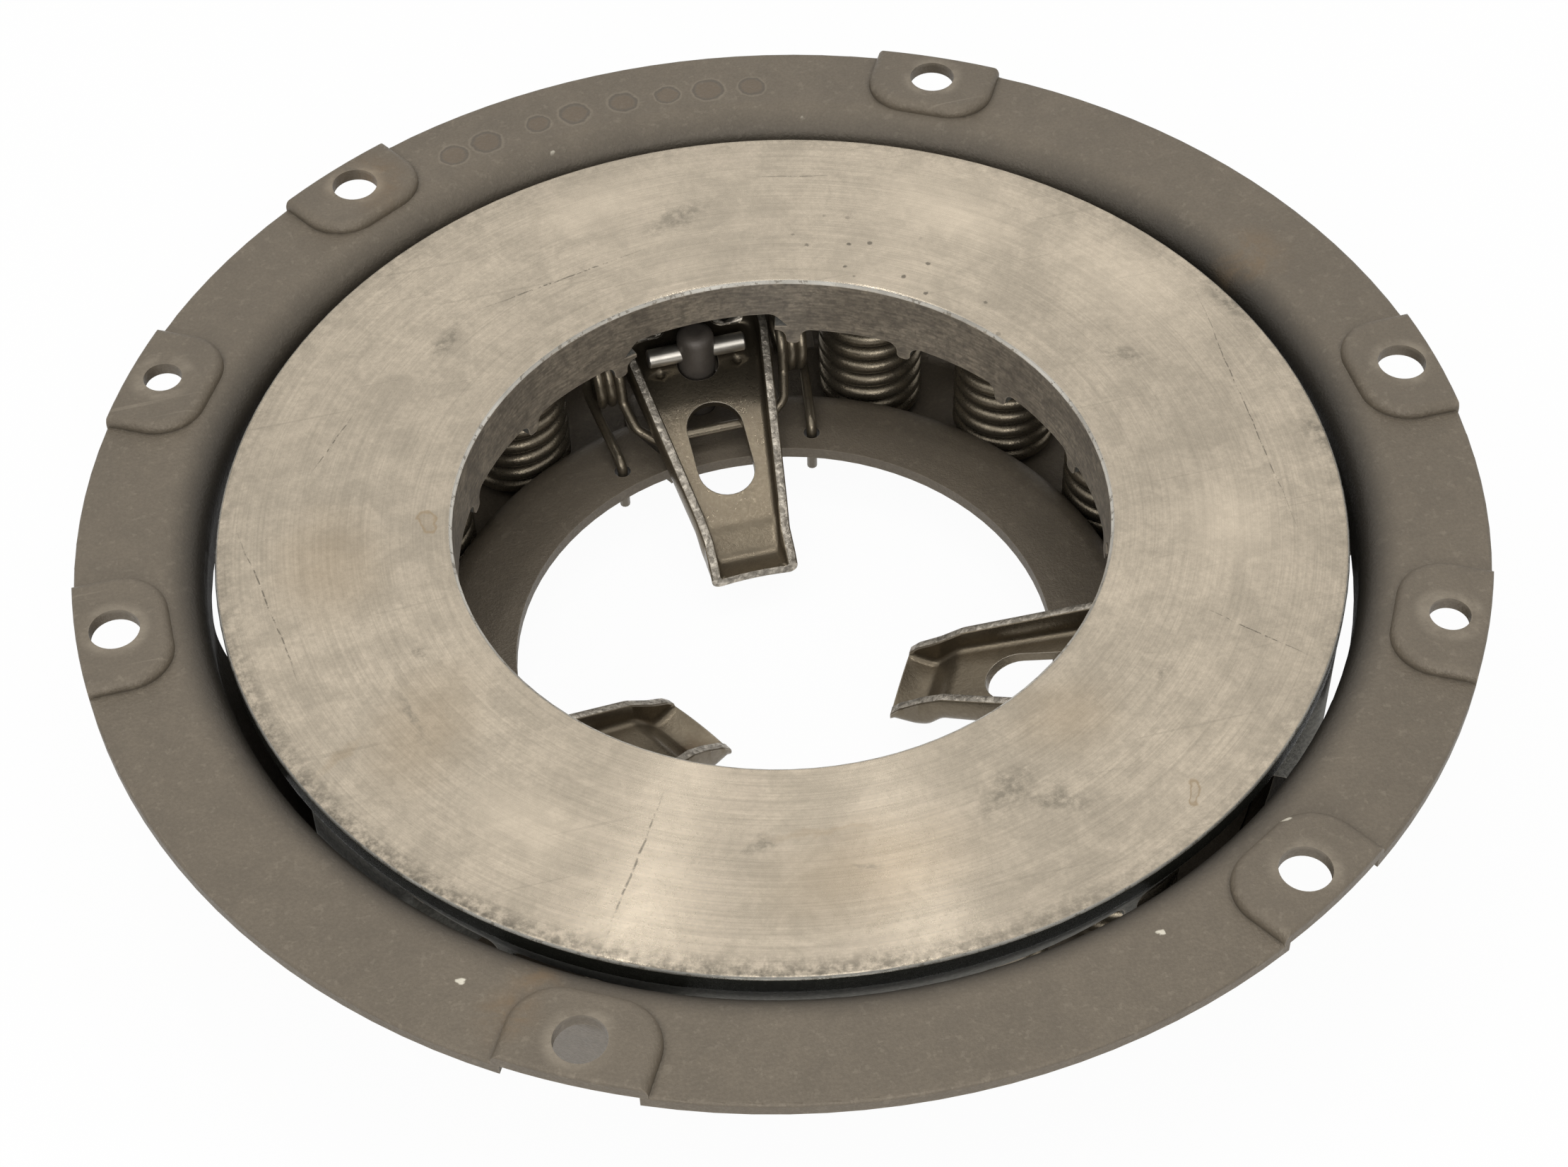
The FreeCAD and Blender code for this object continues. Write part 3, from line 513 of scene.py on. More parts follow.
def ring_material():
    material, tree, shader = new_material("ground_cast_iron")
    point = place_on(tree)
    radius, height, angle = polar(tree, point)
    patches, speckle = mottled(tree, point, 17.0, 1100.0)
    clouds, grains = mottled(tree, point, 110.0, 520.0)
    on_face = ramp(tree, height, ring_face - 0.0003, ring_face - 0.0001)
    on_bore = ramp(tree, radius, ring_bore + 0.0006, ring_bore + 0.0001)
    at_rim = ramp(tree, radius, ring_rim - rim_break, ring_rim - rim_break / 2)
    at_top = ramp(tree, height, ring_face - bore_break - 0.0001, ring_face - bore_break + 0.0001)
    on_land = product(tree, ramp(tree, radius, ring_rim - 0.0004, ring_rim - 0.0001),
                      ramp(tree, height, ring_face - ring_land - 0.0003, ring_face - ring_land + 0.0001))
    bore_edge = product(tree, at_top,
                        ramp(tree, radius, ring_bore + bore_break, ring_bore + bore_break / 2))
    rim_edge = product(tree, at_rim,
                       ramp(tree, height, ring_face - rim_break - 0.0001, ring_face - rim_break))

    # turned and ground marks run round the axis
    lathe = lines_on(tree, ((radius, 2600.0), (angle, 9.0)), 3.0, 0.6)
    broad = lines_on(tree, ((radius, 620.0), (angle, 5.0)), 2.0)
    bore_lines = lines_on(tree, ((height, 1500.0), (angle, 60.0)), 3.0)

    honed = use_group(tree, scratches, {"Place": point, "Amount": 1.0})
    face = mix_colour(tree, patches, face_colour, times(face_colour, 0.84))
    face = over(tree, face, ramp(tree, clouds, 0.15, 1.0), 0.26, face_dark)
    face = over(tree, face, speckle, 0.24, face_dark)
    face = over(tree, face, grains, 0.14, face_dark)
    face = over(tree, face, ramp(tree, lathe, 0.35, 0.72), 0.26, face_dark)
    face = over(tree, face, ramp(tree, broad, 0.4, 0.75), 0.18, face_dark)
    face = over(tree, face, honed.outputs["Mask"], 0.22, face_dark)
    ragged = wobbled(tree, point, 0.007, 190.0)
    face = over(tree, face, spots_of(tree, ragged, brown_smudges, 0.9), 0.34, face_brown)
    face = over(tree, face, spots_of(tree, ragged, pale_smudges, 0.95), 0.28,
                times(face_colour, 1.35))
    face = over(tree, face, spots_of(tree, ragged, grey_smudges, 0.75),
                scaled(tree, grains, 0.75, 0.12), face_dark)
    outline = scaled(tree, spots_of(tree, ragged, outlined_marks, 0.2, 0.72), -0.75,
                     spots_of(tree, ragged, outlined_marks, 0.15), clamp=True)
    face = over(tree, face, outline, 0.75, face_brown)
    lines = spots_of(tree, wobbled(tree, point, 0.0016, 90.0), face_scratches, 0.5)
    lines = product(tree, lines, ramp(tree, grains, 0.15, 0.65))
    face = over(tree, face, lines, 0.75, times(face_dark, 0.45))
    pits = node(tree, "TexVoronoi", {"Vector": wobbled(tree, point, 0.0012, 700.0), "Scale": 230.0,
                                     "Randomness": 1.0})
    where = product(tree, spot(tree, point, *pitted_spot, 0.5, 2.5, -0.88),
                    ramp(tree, pits.outputs["Distance"], 0.17, 0.09))
    face = over(tree, face, where, 0.75, times(face_dark, 0.35))
    near_rim = ramp(tree, radius, ring_rim - grimy_rim[0], ring_rim + grimy_rim[1])
    turned_from = scaled(tree, angle, math.pi, grimy_heading)
    front_left = ramp(tree, maths(tree, "COSINE", turned_from), 0.35, 0.95)
    rim_grime = product(tree, grains, scaled(tree, front_left, 0.75, 0.30))
    face = over(tree, face, near_rim, rim_grime, times(face_dark, 0.6))

    wall = mix_colour(tree, ramp(tree, bore_lines, 0.30, 0.70), bore_light, bore_colour)
    wall = over(tree, wall, clouds, 0.55, bore_dark)
    wall = over(tree, wall, ramp(tree, grains, 0.45, 0.95), 0.50, bore_dark)
    wall = over(tree, wall, speckle, 0.35, bore_dark)
    cast = mix_colour(tree, speckle, cast_colour, times(cast_colour, 1.9))
    nicks = ramp(tree, grains, 0.30, 0.12)
    # painted highlight: a pale colour on the chamfers of the bore and the rim; the dark nicks in it are
    # wear
    bright = over(tree, chamfer_highlight_colour, nicks, 0.7, bore_colour)
    base = mix_colour(tree, on_bore, cast, wall)
    # painted shade: the turned band below the face is given a near-black colour
    base = mix_colour(tree, on_land, base, land_shade_colour)
    base = mix_colour(tree, on_face, base, face)
    wear = use_group(tree, edge_wear, {"Place": point, "Width": 0.0005, "Breakup": 0.8})
    base = over(tree, base, wear.outputs["Mask"], scaled(tree, on_face, -0.3, 0.4),
                times(face_colour, 1.15))
    uneven = ramp(tree, patches, 0.0, 0.9)
    edges = maths(tree, "MAXIMUM", product(tree, bore_edge, 0.75), product(tree, rim_edge, 0.35))
    edges = product(tree, edges, scaled(tree, uneven, 0.6, 0.4))
    base = mix_colour(tree, edges, base, bright)
    machined = most(tree, [on_face, on_bore, on_land, edges])
    metal = scaled(tree, on_bore, -0.65, scaled(tree, machined, 0.50, 0.25))
    tree.links.new(metal, shader.inputs["Metallic"])
    rough = scaled(tree, on_bore, 0.28, scaled(tree, machined, -0.43, 0.62))
    rough = scaled(tree, speckle, 0.08, rough)
    rough = scaled(tree, clouds, 0.04, rough)
    shader.inputs["Anisotropic"].default_value = 0.95
    shader.inputs["Anisotropic Rotation"].default_value = 0.25
    around = node(tree, "Tangent", {}, direction_type="RADIAL", axis="Z")
    tree.links.new(around.outputs["Tangent"], shader.inputs["Tangent"])
    grit = product(tree, speckle, maths(tree, "SUBTRACT", 1.03, machined))
    grooves = product(tree, lathe, product(tree, on_face, 0.10))
    grooves = scaled(tree, bore_lines, product(tree, on_bore, 0.7), grooves)
    surface(tree, shader, base, rough, {"Strength": 0.35, "Distance": 0.0002,
                                        "Height": maths(tree, "ADD", grit, grooves),
                                        "Normal": soft_edges(tree, 0.0006)})
    return material


finish("pressure_ring", ring_material())


# Release levers: pressed channels of oiled steel, olive brown and half shiny,
# open towards the flywheel, with rough bright sheared edges on both flanges. The
# nose is bent down and up again, and its lip is crowned. Each turns on its pin.
lever_colour = (0.158, 0.131, 0.092)
lever_stain = (0.075, 0.048, 0.026)
lever_shade_colour = (0.040, 0.034, 0.024)
sheared_colour = (0.66, 0.60, 0.51)
lever_sheet = 0.0023
lever_slope = math.radians(20.0)
pivot_distance = 0.0795
pivot_depth = -0.0333
web_under_pivot = 0.0023
tip_distance = 0.0266
valley_distance = 0.0332
valley_drop = 0.0050
nose_bend_distance = 0.0380
shoulder_distance = 0.0860
tongue_end = 0.0945
tongue_half = 0.0075
tongue_corner = 0.0030
nose_half = 0.01015
lever_half = 0.0176
lip_rise = 0.0013
lip_crown = 0.0009
crown_distance = 0.0310
lip_side_distance = 0.0285
lip_side = 0.0036
nose_side = 0.0055
middle_side = 0.0075
shoulder_side = 0.0052
top_bends = (0.0063, 0.0030)
under_bends = (0.0040, 0.0053)
side_bends = (0.0023, 0.0060, 0.0060)
plan_bend = 0.0080
inner_run = 0.0200
outer_run = 0.1000
channel_root = 0.0017
channel_back = 0.0034
edge_break = 0.00028
round_steps = 6
# distances at which the channel's section is drawn, closer where it bends
nose_step = 0.0004
middle_start = 0.0415
middle_step = 0.0022
shoulder_stations = [0.0833, 0.0843, 0.0850, 0.0855, 0.0859, 0.08602, 0.0864, 0.0870, 0.0880,
                     0.0892, tongue_end]
# slots in the web: start and end from the pin, half width and corner
eye_slot = (-0.00686, 0.00495, 0.0049, 0.0044)
light_slot = (-0.0368, -0.0129, 0.00665, 0.0066)
slot_reach = (-0.0090, 0.0004)
dent_distance = 0.0765
dent_side = 0.0093
dent_ball = 0.0017
dent_ball_rise = 0.0013
lever_angles = [math.radians(90 + 120 * i) for i in range(3)]


def bent(points, radii, steps):
    """Straight runs joined by arcs; radii is one number or one for each inner corner."""
    path = [points[0]]
    for i, (before, corner, after) in enumerate(zip(points, points[1:], points[2:])):
        radius = radii[i] if isinstance(radii, (list, tuple)) else radii
        back = (before - corner).normalized()
        on = (after - corner).normalized()
        half = back.angle(on) / 2
        reach = min(radius / math.tan(half), 0.45 * (before - corner).length,
                    0.45 * (after - corner).length)
        bow = reach * math.tan(half)
        centre = corner + (back + on).normalized() * (bow / math.sin(half))
        start = corner + back * reach - centre
        end = corner + on * reach - centre
        for k in range(steps + 1):
            path.append(centre + start.slerp(end, k / steps) * start.length)
    path.append(points[-1])
    return path


def curve_height(path, x):
    """Height of a path of (x, 0, z) points at one x."""
    for first, second in zip(path, path[1:]):
        low, high = sorted((first, second), key=lambda p: p.x)
        if low.x <= x <= high.x and high.x > low.x:
            return low.z + (high.z - low.z) * (x - low.x) / (high.x - low.x)
    return min(path, key=lambda p: abs(p.x - x)).z


def web_height(x):
    """Top of the straight part of the web at one distance."""
    under_pivot = pivot_depth - web_under_pivot / math.cos(lever_slope)
    return under_pivot - (pivot_distance - x) * math.tan(lever_slope)


def side_line(points, radii, steps):
    return bent([Vector((x, 0, z)) for x, z in points], radii, steps)


def lever_lines():
    """Side view: top of the web, its underside, top of the flange, and half width."""
    bend = web_height(nose_bend_distance)
    valley = bend - valley_drop
    ramp_slope = math.atan(valley_drop / (nose_bend_distance - valley_distance))
    top = side_line([(outer_run, web_height(outer_run)), (nose_bend_distance, bend),
                     (valley_distance, valley), (inner_run, valley + lip_rise)], top_bends, 12)
    shift = math.sin(lever_slope) - math.tan((ramp_slope - lever_slope) / 2) * math.cos(lever_slope)
    bend_x = nose_bend_distance + lever_sheet * shift
    valley_x = valley_distance + lever_sheet * math.tan(ramp_slope / 2)
    drop = lever_sheet / math.cos(lever_slope)
    under = side_line([(outer_run, web_height(outer_run) - drop), (bend_x, web_height(bend_x) - drop),
                       (valley_x, valley - lever_sheet), (inner_run, valley + lip_rise - lever_sheet)],
                      under_bends, 12)
    flange = side_line([(tip_distance, valley + lip_rise), (lip_side_distance, valley + lip_side),
                        (nose_bend_distance, bend + nose_side),
                        (pivot_distance, web_height(pivot_distance) + middle_side),
                        (shoulder_distance, web_height(shoulder_distance) + shoulder_side)],
                       side_bends, 8)
    plan = side_line([(inner_run, nose_half), (valley_distance, nose_half),
                      (pivot_distance, lever_half), (outer_run, lever_half)], plan_bend, 8)
    return top, under, flange, plan


def corner_loss(depth):
    """How much a rounded corner narrows the lever at a depth into its arc."""
    return tongue_corner - math.sqrt(max(0.0, tongue_corner ** 2 - max(0.0, depth) ** 2))


def lever_section(x, lines):
    """Half outline of the channel at one distance, as (y, z), out from the back and in again."""
    top, under, flange, plan = lines
    web = curve_height(top, x)
    back = curve_height(under, x)
    edge = curve_height(flange, x)
    half = curve_height(plan, x)
    if x > shoulder_distance:
        edge = web
        half = tongue_half + corner_loss(shoulder_distance + tongue_corner - x)
    else:
        half -= corner_loss(x - shoulder_distance + tongue_corner)
    edge = max(edge, web + 1.2 * edge_break)
    near_tip = max(0.0, (crown_distance - x) / (crown_distance - tip_distance))
    inner = half - lever_sheet
    root = min(channel_root, edge - edge_break - web)
    spine = min(channel_back, 0.9 * (edge - edge_break - back))
    points = [(share * (half - spine), back) for share in (0.0, 0.33, 0.66)]
    for k in range(round_steps + 1):
        turn = -math.pi / 2 + k * math.pi / 2 / round_steps
        points.append((half - spine + spine * math.cos(turn), back + spine + spine * math.sin(turn)))
    points += [(half, edge - edge_break), (half - edge_break, edge)]
    points += [(inner + edge_break, edge), (inner, edge - edge_break)]
    for k in range(round_steps + 1):
        turn = -k * math.pi / 2 / round_steps
        points.append((inner - root + root * math.cos(turn), web + root + root * math.sin(turn)))
    points += [(share * (inner - root), web) for share in (0.66, 0.33, 0.0)]
    crowned = []
    for y, z in points:
        crown = lip_crown * near_tip ** 1.5 * max(0.0, 1 - (y / half) ** 2)
        crowned.append((y, z + crown))
    return crowned


def skin(shape, rings):
    """Faces between closed rings of vertices, and a cap at each end."""
    faces = []
    for first, second in zip(rings, rings[1:]):
        for k in range(len(first)):
            following = (k + 1) % len(first)
            faces.append(shape.faces.new((first[k], first[following], second[following], second[k])))
    faces.append(shape.faces.new(list(reversed(rings[0]))))
    faces.append(shape.faces.new(rings[-1]))
    return faces


def mesh_of(shape, name):
    mesh = bpy.data.meshes.new(name)
    shape.to_mesh(mesh)
    shape.free()
    return mesh


def lever_channel():
    """The channel without its holes, along +X, as a closed mesh."""
    lines = lever_lines()
    shape = bmesh.new()
    stations = [tip_distance + nose_step * i for i in range(36)]
    stations += [middle_start + middle_step * i for i in range(19)]
    rings = []
    for x in stations + shoulder_stations:
        half = lever_section(x, lines)
        whole = half + [(-y, z) for y, z in reversed(half[1:-1])]
        rings.append([shape.verts.new((x, y, z)) for y, z in whole])
    edge_row = 3 + round_steps + 1 + 1
    count = len(rings[0])
    *sides, tip, _ = skin(shape, rings)
    for i, face in enumerate(sides):
        face.material_index = 1 if i % count in (edge_row, count - 1 - edge_row) else 0
    tip.material_index = 1
    bmesh.ops.recalc_face_normals(shape, faces=shape.faces)
    return mesh_of(shape, "lever_channel")


def slot_cutter(start, end, half, radius):
    """Rounded slot square to the web, from start to end along it."""
    near = start + radius
    far = end - radius
    side = half - radius
    outline = []
    for x, y, first in ((near, -side, math.pi), (far, -side, -math.pi / 2), (far, side, 0.0),
                        (near, side, math.pi / 2)):
        for k in range(9):
            turn = first + k * math.pi / 16
            outline.append((x + radius * math.cos(turn), y + radius * math.sin(turn)))
    shape = bmesh.new()
    skin(shape, [[shape.verts.new((x, y, level)) for x, y in outline] for level in slot_reach])
    bmesh.ops.recalc_face_normals(shape, faces=shape.faces)
    shape.transform(Matrix.Translation((pivot_distance, 0, pivot_depth))
                    @ Matrix.Rotation(-lever_slope, 4, "Y"))
    return mesh_of(shape, "slot_cutter")


def dent_cutter(x, y):
    """Small ball that leaves a punched dent in the web."""
    shape = bmesh.new()
    bmesh.ops.create_uvsphere(shape, u_segments=20, v_segments=12, radius=dent_ball)
    shape.transform(Matrix.Translation((x, y, web_height(x) + dent_ball_rise)))
    return mesh_of(shape, "dent_cutter")


def cut_from(body_mesh, cutter_meshes):
    """The body mesh less all the cutters."""
    body = placed("cut_body", body_mesh)
    helpers = [body]
    for mesh in cutter_meshes:
        cutter = placed("cutter", mesh)
        helpers.append(cutter)
        modifier = body.modifiers.new("cut", "BOOLEAN")
        modifier.operation = "DIFFERENCE"
        modifier.solver = "EXACT"
        modifier.object = cutter
    bpy.context.view_layer.update()
    graph = bpy.context.evaluated_depsgraph_get()
    result = bpy.data.meshes.new_from_object(body.evaluated_get(graph))
    for helper in helpers:
        bpy.data.objects.remove(helper)
    return result


def lever_material():
    material, tree, shader = new_material("oiled_lever_steel")
    point = place_on(tree)
    patches, speckle = mottled(tree, point, 70.0, 1300.0)
    base = mix_colour(tree, patches, lever_colour, times(lever_colour, 1.30))
    base = over(tree, base, speckle, 0.18, lever_stain)
    stain = spot(tree, wobbled(tree, point, 0.004, 300.0), -0.0265, -0.0205, 0.0042, soft=0.6)
    base = over(tree, base, stain, 0.65, lever_stain)
    # painted shade: the web is darker towards its outer end, under the ring
    radius = polar(tree, point)[0]
    base = over(tree, base, ramp(tree, radius, 0.060, 0.073), 0.62, lever_shade_colour)
    wear = use_group(tree, edge_wear, {"Place": point, "Width": 0.0004, "Breakup": 1.0})
    base = over(tree, base, wear.outputs["Mask"], 0.55, sheared_colour)
    shader.inputs["Metallic"].default_value = 0.8
    rough = scaled(tree, speckle, 0.10, 0.25)
    rough = scaled(tree, patches, 0.06, rough)
    surface(tree, shader, base, rough, {"Strength": 0.12, "Distance": 0.0002,
                                        "Height": speckle,
                                        "Normal": soft_edges(tree, 0.00035)})
    return material


def sheared_material():
    material, tree, shader = new_material("sheared_lever_edge")
    point = place_on(tree)
    patches, speckle = mottled(tree, point, 620.0, 1500.0)
    base = mix_colour(tree, patches, sheared_colour, times(sheared_colour, 0.30))
    base = over(tree, base, speckle, 0.45, lever_colour)
    shader.inputs["Metallic"].default_value = 0.85
    rough = scaled(tree, patches, 0.20, 0.34)
    surface(tree, shader, base, rough, {"Strength": 0.5, "Distance": 0.0003,
                                        "Height": patches})
    return material


cutters = [slot_cutter(*eye_slot), slot_cutter(*light_slot),
           dent_cutter(dent_distance, -dent_side), dent_cutter(dent_distance, dent_side)]
whole_channel = lever_channel()
for material in (lever_material(), sheared_material()):
    whole_channel.materials.append(material)
lever_mesh = cut_from(whole_channel, cutters)
for number, angle in enumerate(lever_angles, 1):
    mesh = lever_mesh.copy()
    mesh.transform(Matrix.Rotation(angle, 4, "Z"))
    mesh.shade_smooth()
    mesh.set_sharp_from_angle(angle=math.radians(50))
    lever = placed("lever_channel_%d" % number, mesh)
    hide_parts("release_lever_%d" % number)
    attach(lever, "release_lever_%d" % number)


# Small lever parts: dark phosphated eyebolts and nuts, bright ground fulcrum
# pins and plain struts, all turned or cut from bar.
def plain_steel(name, colour, metallic, roughness, grain=0.12):
    material, tree, shader = new_material(name)
    point = place_on(tree)
    patches, speckle = mottled(tree, point, 150.0, 1800.0)
    base = mix_colour(tree, patches, colour, times(colour, 0.75))
    wear = use_group(tree, edge_wear, {"Place": point, "Width": 0.0004, "Breakup": 0.8})
    base = over(tree, base, wear.outputs["Mask"], 0.5, times(colour, 1.8))
    shader.inputs["Metallic"].default_value = metallic
    rough = scaled(tree, speckle, grain, roughness)
    surface(tree, shader, base, rough, {"Strength": 1.2 * grain, "Distance": 0.0002,
                                        "Height": speckle,
                                        "Normal": soft_edges(tree, 0.0003)})
    return material


small_parts = {
    "lever_eyebolt": (plain_steel("phosphated_eyebolt", (0.125, 0.108, 0.092), 0.3, 0.42), "eyebolt_steel"),
    "fulcrum_pin": (plain_steel("ground_pin_steel", (0.66, 0.62, 0.55), 0.9, 0.30, 0.02), "pin_steel"),
    "adjusting_nut": (plain_steel("phosphated_nut", (0.10, 0.092, 0.08), 0.6, 0.36), "nut_steel"),
    "lever_strut": (plain_steel("plain_strut_steel", (0.22, 0.20, 0.17), 0.7, 0.35), "strut_steel"),
}
for name, (material, slot) in small_parts.items():
    for number in (1, 2, 3):
        finish("%s_%d" % (name, number), material)


# Pressure springs: twelve closed-end coils of dark oiled spring wire, standing
# on the channel floor and carrying the ring. The first and last turns are flat.
wire_diameter = 0.00385
spring_turns = 8.9
closed_turns = 0.9
closed_pitch = 1.02
coil_clearance = 0.00002
turn_between_springs = 0.9
wire_sides = 14
steps_per_turn = 40
spring_material = plain_steel("oiled_spring_wire", (0.215, 0.182, 0.132), 0.8, 0.25)


def tube_along(name, centres, radius, sides):
    """A round tube through a list of points, with closed ends."""
    shape = bmesh.new()
    rings = []
    across = None
    for i, centre in enumerate(centres):
        before = centres[max(i - 1, 0)]
        after = centres[min(i + 1, len(centres) - 1)]
        along = (after - before).normalized()
        if across is None:
            across = along.orthogonal().normalized()
        across = (across - along * across.dot(along)).normalized()
        side = along.cross(across)
        ring = []
        for k in range(sides):
            turn = 2 * math.pi * k / sides
            away = across * math.cos(turn) + side * math.sin(turn)
            ring.append(shape.verts.new(centre + away * radius))
        rings.append(ring)
    for face in skin(shape, rings):
        face.smooth = len(face.verts) == 4
    shape.normal_update()
    return placed(name, mesh_of(shape, name))


def coil_points(low, high, mean_radius, turns, start_angle, middle):
    """Helix whose end turns close up flat."""
    points = []
    count = int(turns * steps_per_turn)
    rise = high - low - wire_diameter
    closed = closed_turns * wire_diameter * closed_pitch / rise
    for i in range(count + 1):
        t = i / count
        turn = t * turns
        if turn < closed_turns:
            share = closed * turn / closed_turns
        elif turn > turns - closed_turns:
            share = 1 - closed * (turns - turn) / closed_turns
        else:
            share = closed + (1 - 2 * closed) * (turn - closed_turns) / (turns - 2 * closed_turns)
        angle = start_angle + 2 * math.pi * turn
        points.append(Vector((middle.x + mean_radius * math.cos(angle),
                              middle.y + mean_radius * math.sin(angle),
                              low + wire_diameter / 2 + rise * share)))
    return points


spring_names = sorted(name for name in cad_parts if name.startswith("pressure_spring"))
for index, name in enumerate(spring_names):
    low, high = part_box(name)
    middle = (low + high) / 2
    mean_radius = (high.x - low.x) / 2 - wire_diameter / 2 - coil_clearance
    start = math.atan2(middle.y, middle.x) + turn_between_springs * index
    wire = coil_points(low.z, high.z, mean_radius, spring_turns, start, middle)
    piece = tube_along(name + "_coil", wire, wire_diameter / 2, wire_sides)
    piece.data.materials.append(spring_material)
    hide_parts(name)
    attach(piece, "cover")
    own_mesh(piece)


# Anti-rattle springs: bent spring wire with a crossbar under the lever, a coil of
# nearly three turns on each side, and two legs that end in holes in the cover.
rattle_material = plain_steel("oiled_rattle_wire", (0.215, 0.182, 0.132), 0.8, 0.27)
rattle_wire = 0.00120
coil_distance = 0.0805
coil_depth = -0.0359
coil_radius = 0.0070
coil_side = 0.0194
coil_pitch = 0.0024
coil_turns = 2.75
bar_distance = 0.0649
bar_side = 0.0135
bar_depth = -0.0455
leg_distance = 0.0606
leg_side = 0.0229
leg_knee = -0.0469
leg_end = -0.0599
elbow_out = 0.0020
elbow_in_from_coil = 0.0016
elbow_rise = 0.0030
arm_top_rise = 0.0062
arm_top_before_coil = 0.0006
arm_bends = (0.0030, 0.0030, 0.0050)
leg_bend = 0.0030
coil_steps = 28


def rattle_half(side):
    """From the middle of the crossbar up over one coil to the leg's end."""
    front = coil_distance - coil_radius
    arm = [Vector((bar_distance, 0, bar_depth)), Vector((bar_distance, side * bar_side, bar_depth)),
           Vector((bar_distance + elbow_out, side * (coil_side - elbow_in_from_coil),
                   bar_depth + elbow_rise)),
           Vector((front - arm_top_before_coil, side * coil_side, bar_depth + arm_top_rise)),
           Vector((front, side * coil_side, coil_depth))]
    path = bent(arm, arm_bends, 6)[:-1]
    count = int(coil_turns * coil_steps)
    for k in range(count + 1):
        turned = 2 * math.pi * coil_turns * k / count
        offset = side * (coil_side + coil_pitch * coil_turns * k / count)
        path.append(Vector((coil_distance - coil_radius * math.cos(turned), offset,
                            coil_depth + coil_radius * math.sin(turned))))
    outer = side * (coil_side + coil_pitch * coil_turns)
    leg = [Vector((coil_distance, outer, coil_depth - coil_radius)),
           Vector((leg_distance, side * leg_side, leg_knee)),
           Vector((leg_distance, side * leg_side, leg_end))]
    return path + bent(leg, leg_bend, 6)[1:]


for number, angle in enumerate(lever_angles, 1):
    left = rattle_half(-1)
    whole = list(reversed(left)) + rattle_half(1)[1:]
    spun = Matrix.Rotation(angle, 4, "Z")
    piece = tube_along("rattle_wire_%d" % number, [spun @ p for p in whole], rattle_wire, 12)
    piece.data.materials.append(rattle_material)
    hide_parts("anti_rattle_spring_%d" % number)
    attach(piece, "cover")


# Sills of the lever windows: below each window the wall of the cover runs down to
# the floor, low in the middle and curving up at both ends, of the same sheet and
# finish as the pressing.
sill_flat = 0.0125
sill_end = 0.0348
sill_foot = -0.0652
sill_height = 0.0107
sill_rise = 0.0121
cone_top = -0.0200
cone_top_radius = 0.1214
cone_slope = 0.0129 / 0.0424
cover_sheet = 0.0030
floor_bend_top = -0.0600
floor_bend_height = 0.0030
floor_bend_reach = 0.0016
sill_columns = 16
sill_rows = 8


def sill_radius(height, outside):
    """Radius of the wall's inner or outer side, with the bend into the floor."""
    radius = cone_top_radius + (height - cone_top) * cone_slope
    if outside:
        return radius + cover_sheet
    bend = max(0.0, min(1.0, (floor_bend_top - height) / floor_bend_height))
    return radius - floor_bend_reach * bend ** 2


def window_sill(name, angle):
    """A strip of the wall under one window, its inner and outer side joined all round."""
    shape = bmesh.new()
    columns = []
    for i in range(-sill_columns, sill_columns + 1):
        offset = sill_end * i / sill_columns
        climb = max(0.0, abs(offset) - sill_flat) / (sill_end - sill_flat)
        top = sill_foot + sill_height + sill_rise * climb ** 1.8
        column = []
        for outside in (False, True):
            for k in range(sill_rows + 1):
                height = sill_foot + (top - sill_foot) * k / sill_rows
                radius = sill_radius(height, outside)
                column.append(shape.verts.new((math.sqrt(radius ** 2 - offset ** 2), offset, height)))
        columns.append(column)
    outer = sill_rows + 1
    for first, second in zip(columns, columns[1:]):
        for k in range(sill_rows):
            shape.faces.new((first[k], second[k], second[k + 1], first[k + 1]))
            m = k + outer
            shape.faces.new((first[m], first[m + 1], second[m + 1], second[m]))
        shape.faces.new((first[sill_rows], second[sill_rows], second[-1], first[-1]))
        shape.faces.new((first[0], first[outer], second[outer], second[0]))
    for column in (columns[0], columns[-1]):
        for k in range(sill_rows):
            shape.faces.new((column[k], column[k + 1], column[k + outer + 1], column[k + outer]))
    bmesh.ops.recalc_face_normals(shape, faces=shape.faces)
    shape.transform(Matrix.Rotation(angle, 4, "Z"))
    mesh = mesh_of(shape, name)
    mesh.shade_smooth()
    mesh.set_sharp_from_angle(angle=math.radians(40))
    mesh.materials.append(bpy.data.materials["phosphated_cover_steel"])
    sill = placed(name, mesh)
    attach(sill, "cover")


for number, angle in enumerate(lever_angles, 1):
    window_sill("window_sill_%d" % number, angle)


# Floor and light: a white floor that keeps a faint shadow, a white room, two soft
# lamps high above, to the left and right, a larger one from the left and a low one
# from the front.
floor_gap = 0.0002
floor_half = 6.0
floor_whiteness = 0.96
sky_low = 0.22
sky_high = 1.28
floor_mesh = bpy.data.meshes.new("floor")
corners = ((-1, -1), (1, -1), (1, 1), (-1, 1))
floor_mesh.from_pydata([(x * floor_half, y * floor_half, cad_box[0][2] - floor_gap) for x, y in corners],
                       [], [(0, 1, 2, 3)])
floor = placed("floor", floor_mesh)


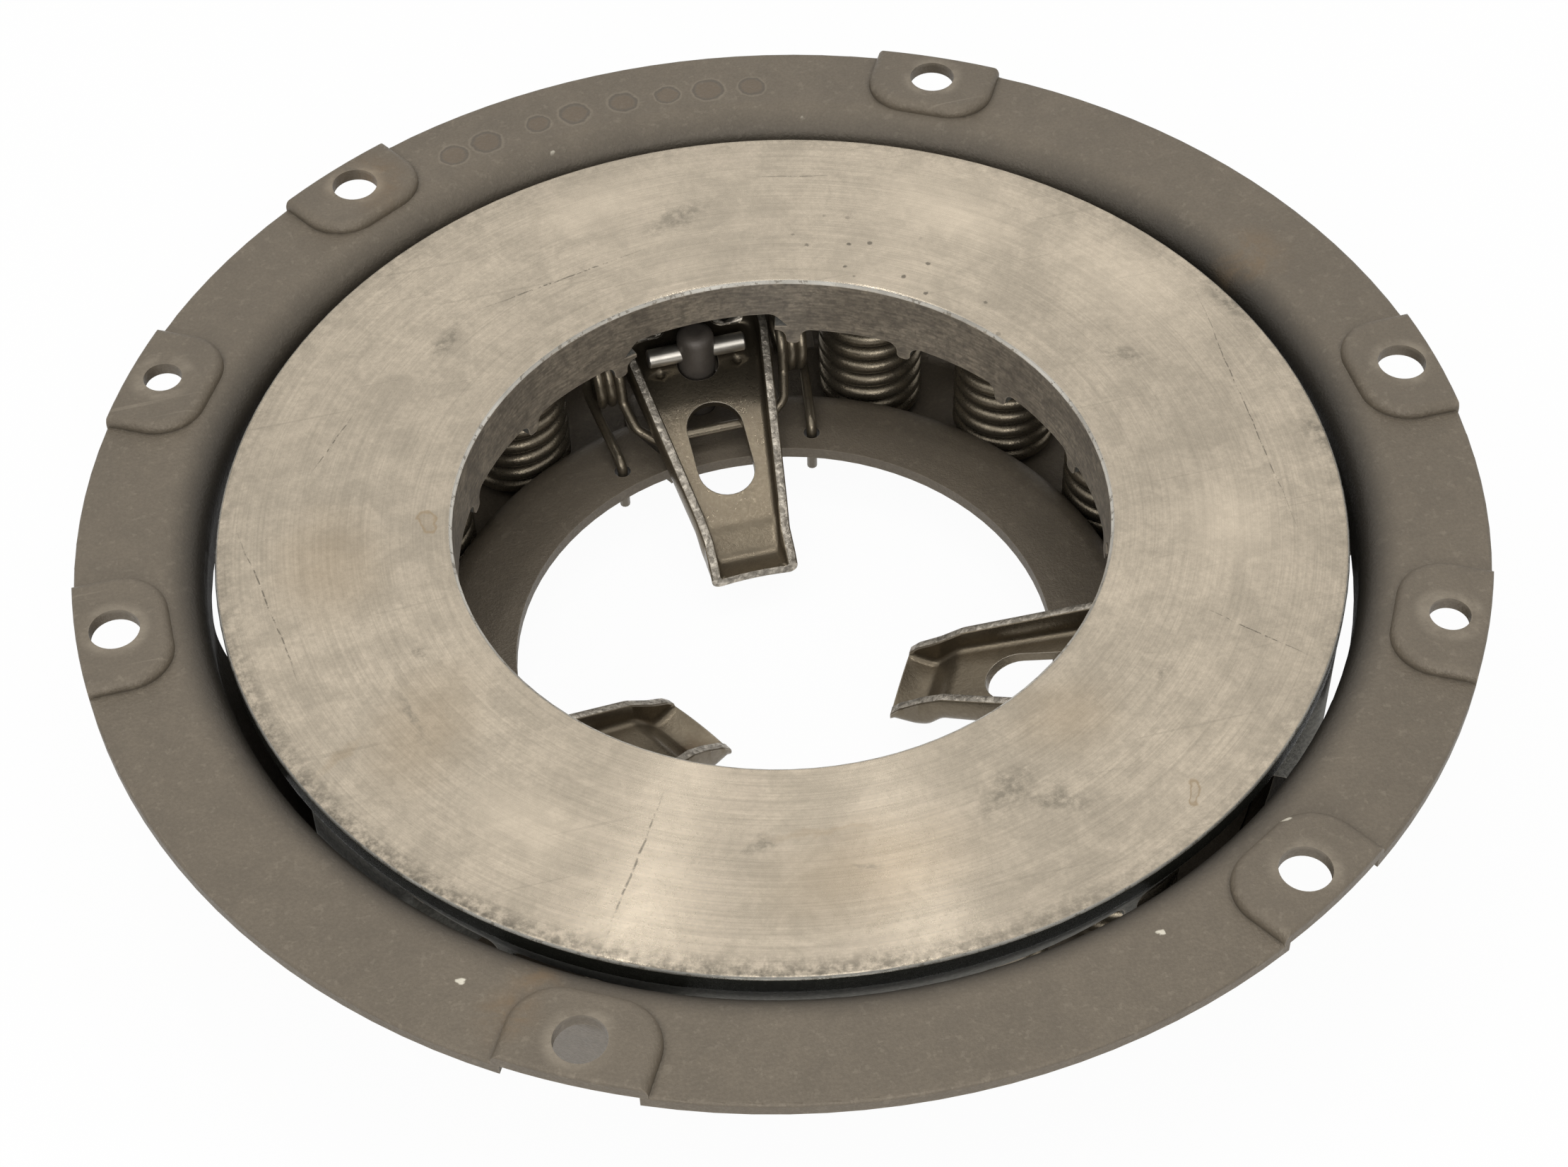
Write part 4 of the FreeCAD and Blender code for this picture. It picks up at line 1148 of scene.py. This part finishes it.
def seen_rays(tree):
    """1 for rays of the camera, of gloss and of glass, else 0."""
    rays = tree.nodes.new("ShaderNodeLightPath").outputs
    seen = maths(tree, "MAXIMUM", rays["Is Camera Ray"], rays["Is Glossy Ray"])
    return maths(tree, "MAXIMUM", seen, rays["Is Transmission Ray"])


floor_material = bpy.data.materials.new("white_floor")
floor_material.use_nodes = True
tree = floor_material.node_tree
tree.nodes.clear()
paper = node(tree, "BsdfDiffuse", {"Color": (0.8, 0.8, 0.8)})
glow = node(tree, "Emission", {"Color": (1.0, 1.0, 1.0), "Strength": 1.0})
white_share = product(tree, seen_rays(tree), floor_whiteness)
blend = node(tree, "MixShader", {0: white_share, 1: paper.outputs[0], 2: glow.outputs[0]})
output = tree.nodes.new("ShaderNodeOutputMaterial")
tree.links.new(blend.outputs[0], output.inputs["Surface"])
floor_mesh.materials.append(floor_material)

world = bpy.data.worlds.new("white_room")
bpy.context.scene.world = world
world.use_nodes = True
tree = world.node_tree
tree.nodes.clear()
direction = node(tree, "SeparateXYZ", {"Vector": tree.nodes.new("ShaderNodeTexCoord").outputs["Generated"]})
rise = maths(tree, "MAXIMUM", direction.outputs["Z"], 0.0)
sky = scaled(tree, product(tree, rise, rise), sky_high, sky_low)
room = node(tree, "Background", {"Color": (1.0, 0.985, 0.96), "Strength": sky})
white = node(tree, "Background", {"Color": (1.0, 1.0, 1.0), "Strength": 1.0})
blend = node(tree, "MixShader", {0: seen_rays(tree), 1: room.outputs[0], 2: white.outputs[0]})
output = tree.nodes.new("ShaderNodeOutputWorld")
tree.links.new(blend.outputs[0], output.inputs["Surface"])


# lamps that aim at the middle of the part: name, place, side and power
lamps = (("overhead_left", (-0.158, 0.194, 1.1), 0.07, 0.90),
         ("overhead_right", (0.200, 0.105, 1.1), 0.07, 0.65),
         ("left_soft", (-0.8, -0.35, 0.9), 0.5, 1.3), ("front_soft", (-0.20, -1.0, 0.50), 0.5, 4.0))
for name, place, size, power in lamps:
    data = bpy.data.lights.new(name, "AREA")
    data.shape = "SQUARE"
    data.size = size
    data.energy = power
    lamp = placed(name, data)
    lamp.location = place
    lamp.rotation_euler = (-Vector(place)).to_track_quat("-Z", "Y").to_euler()
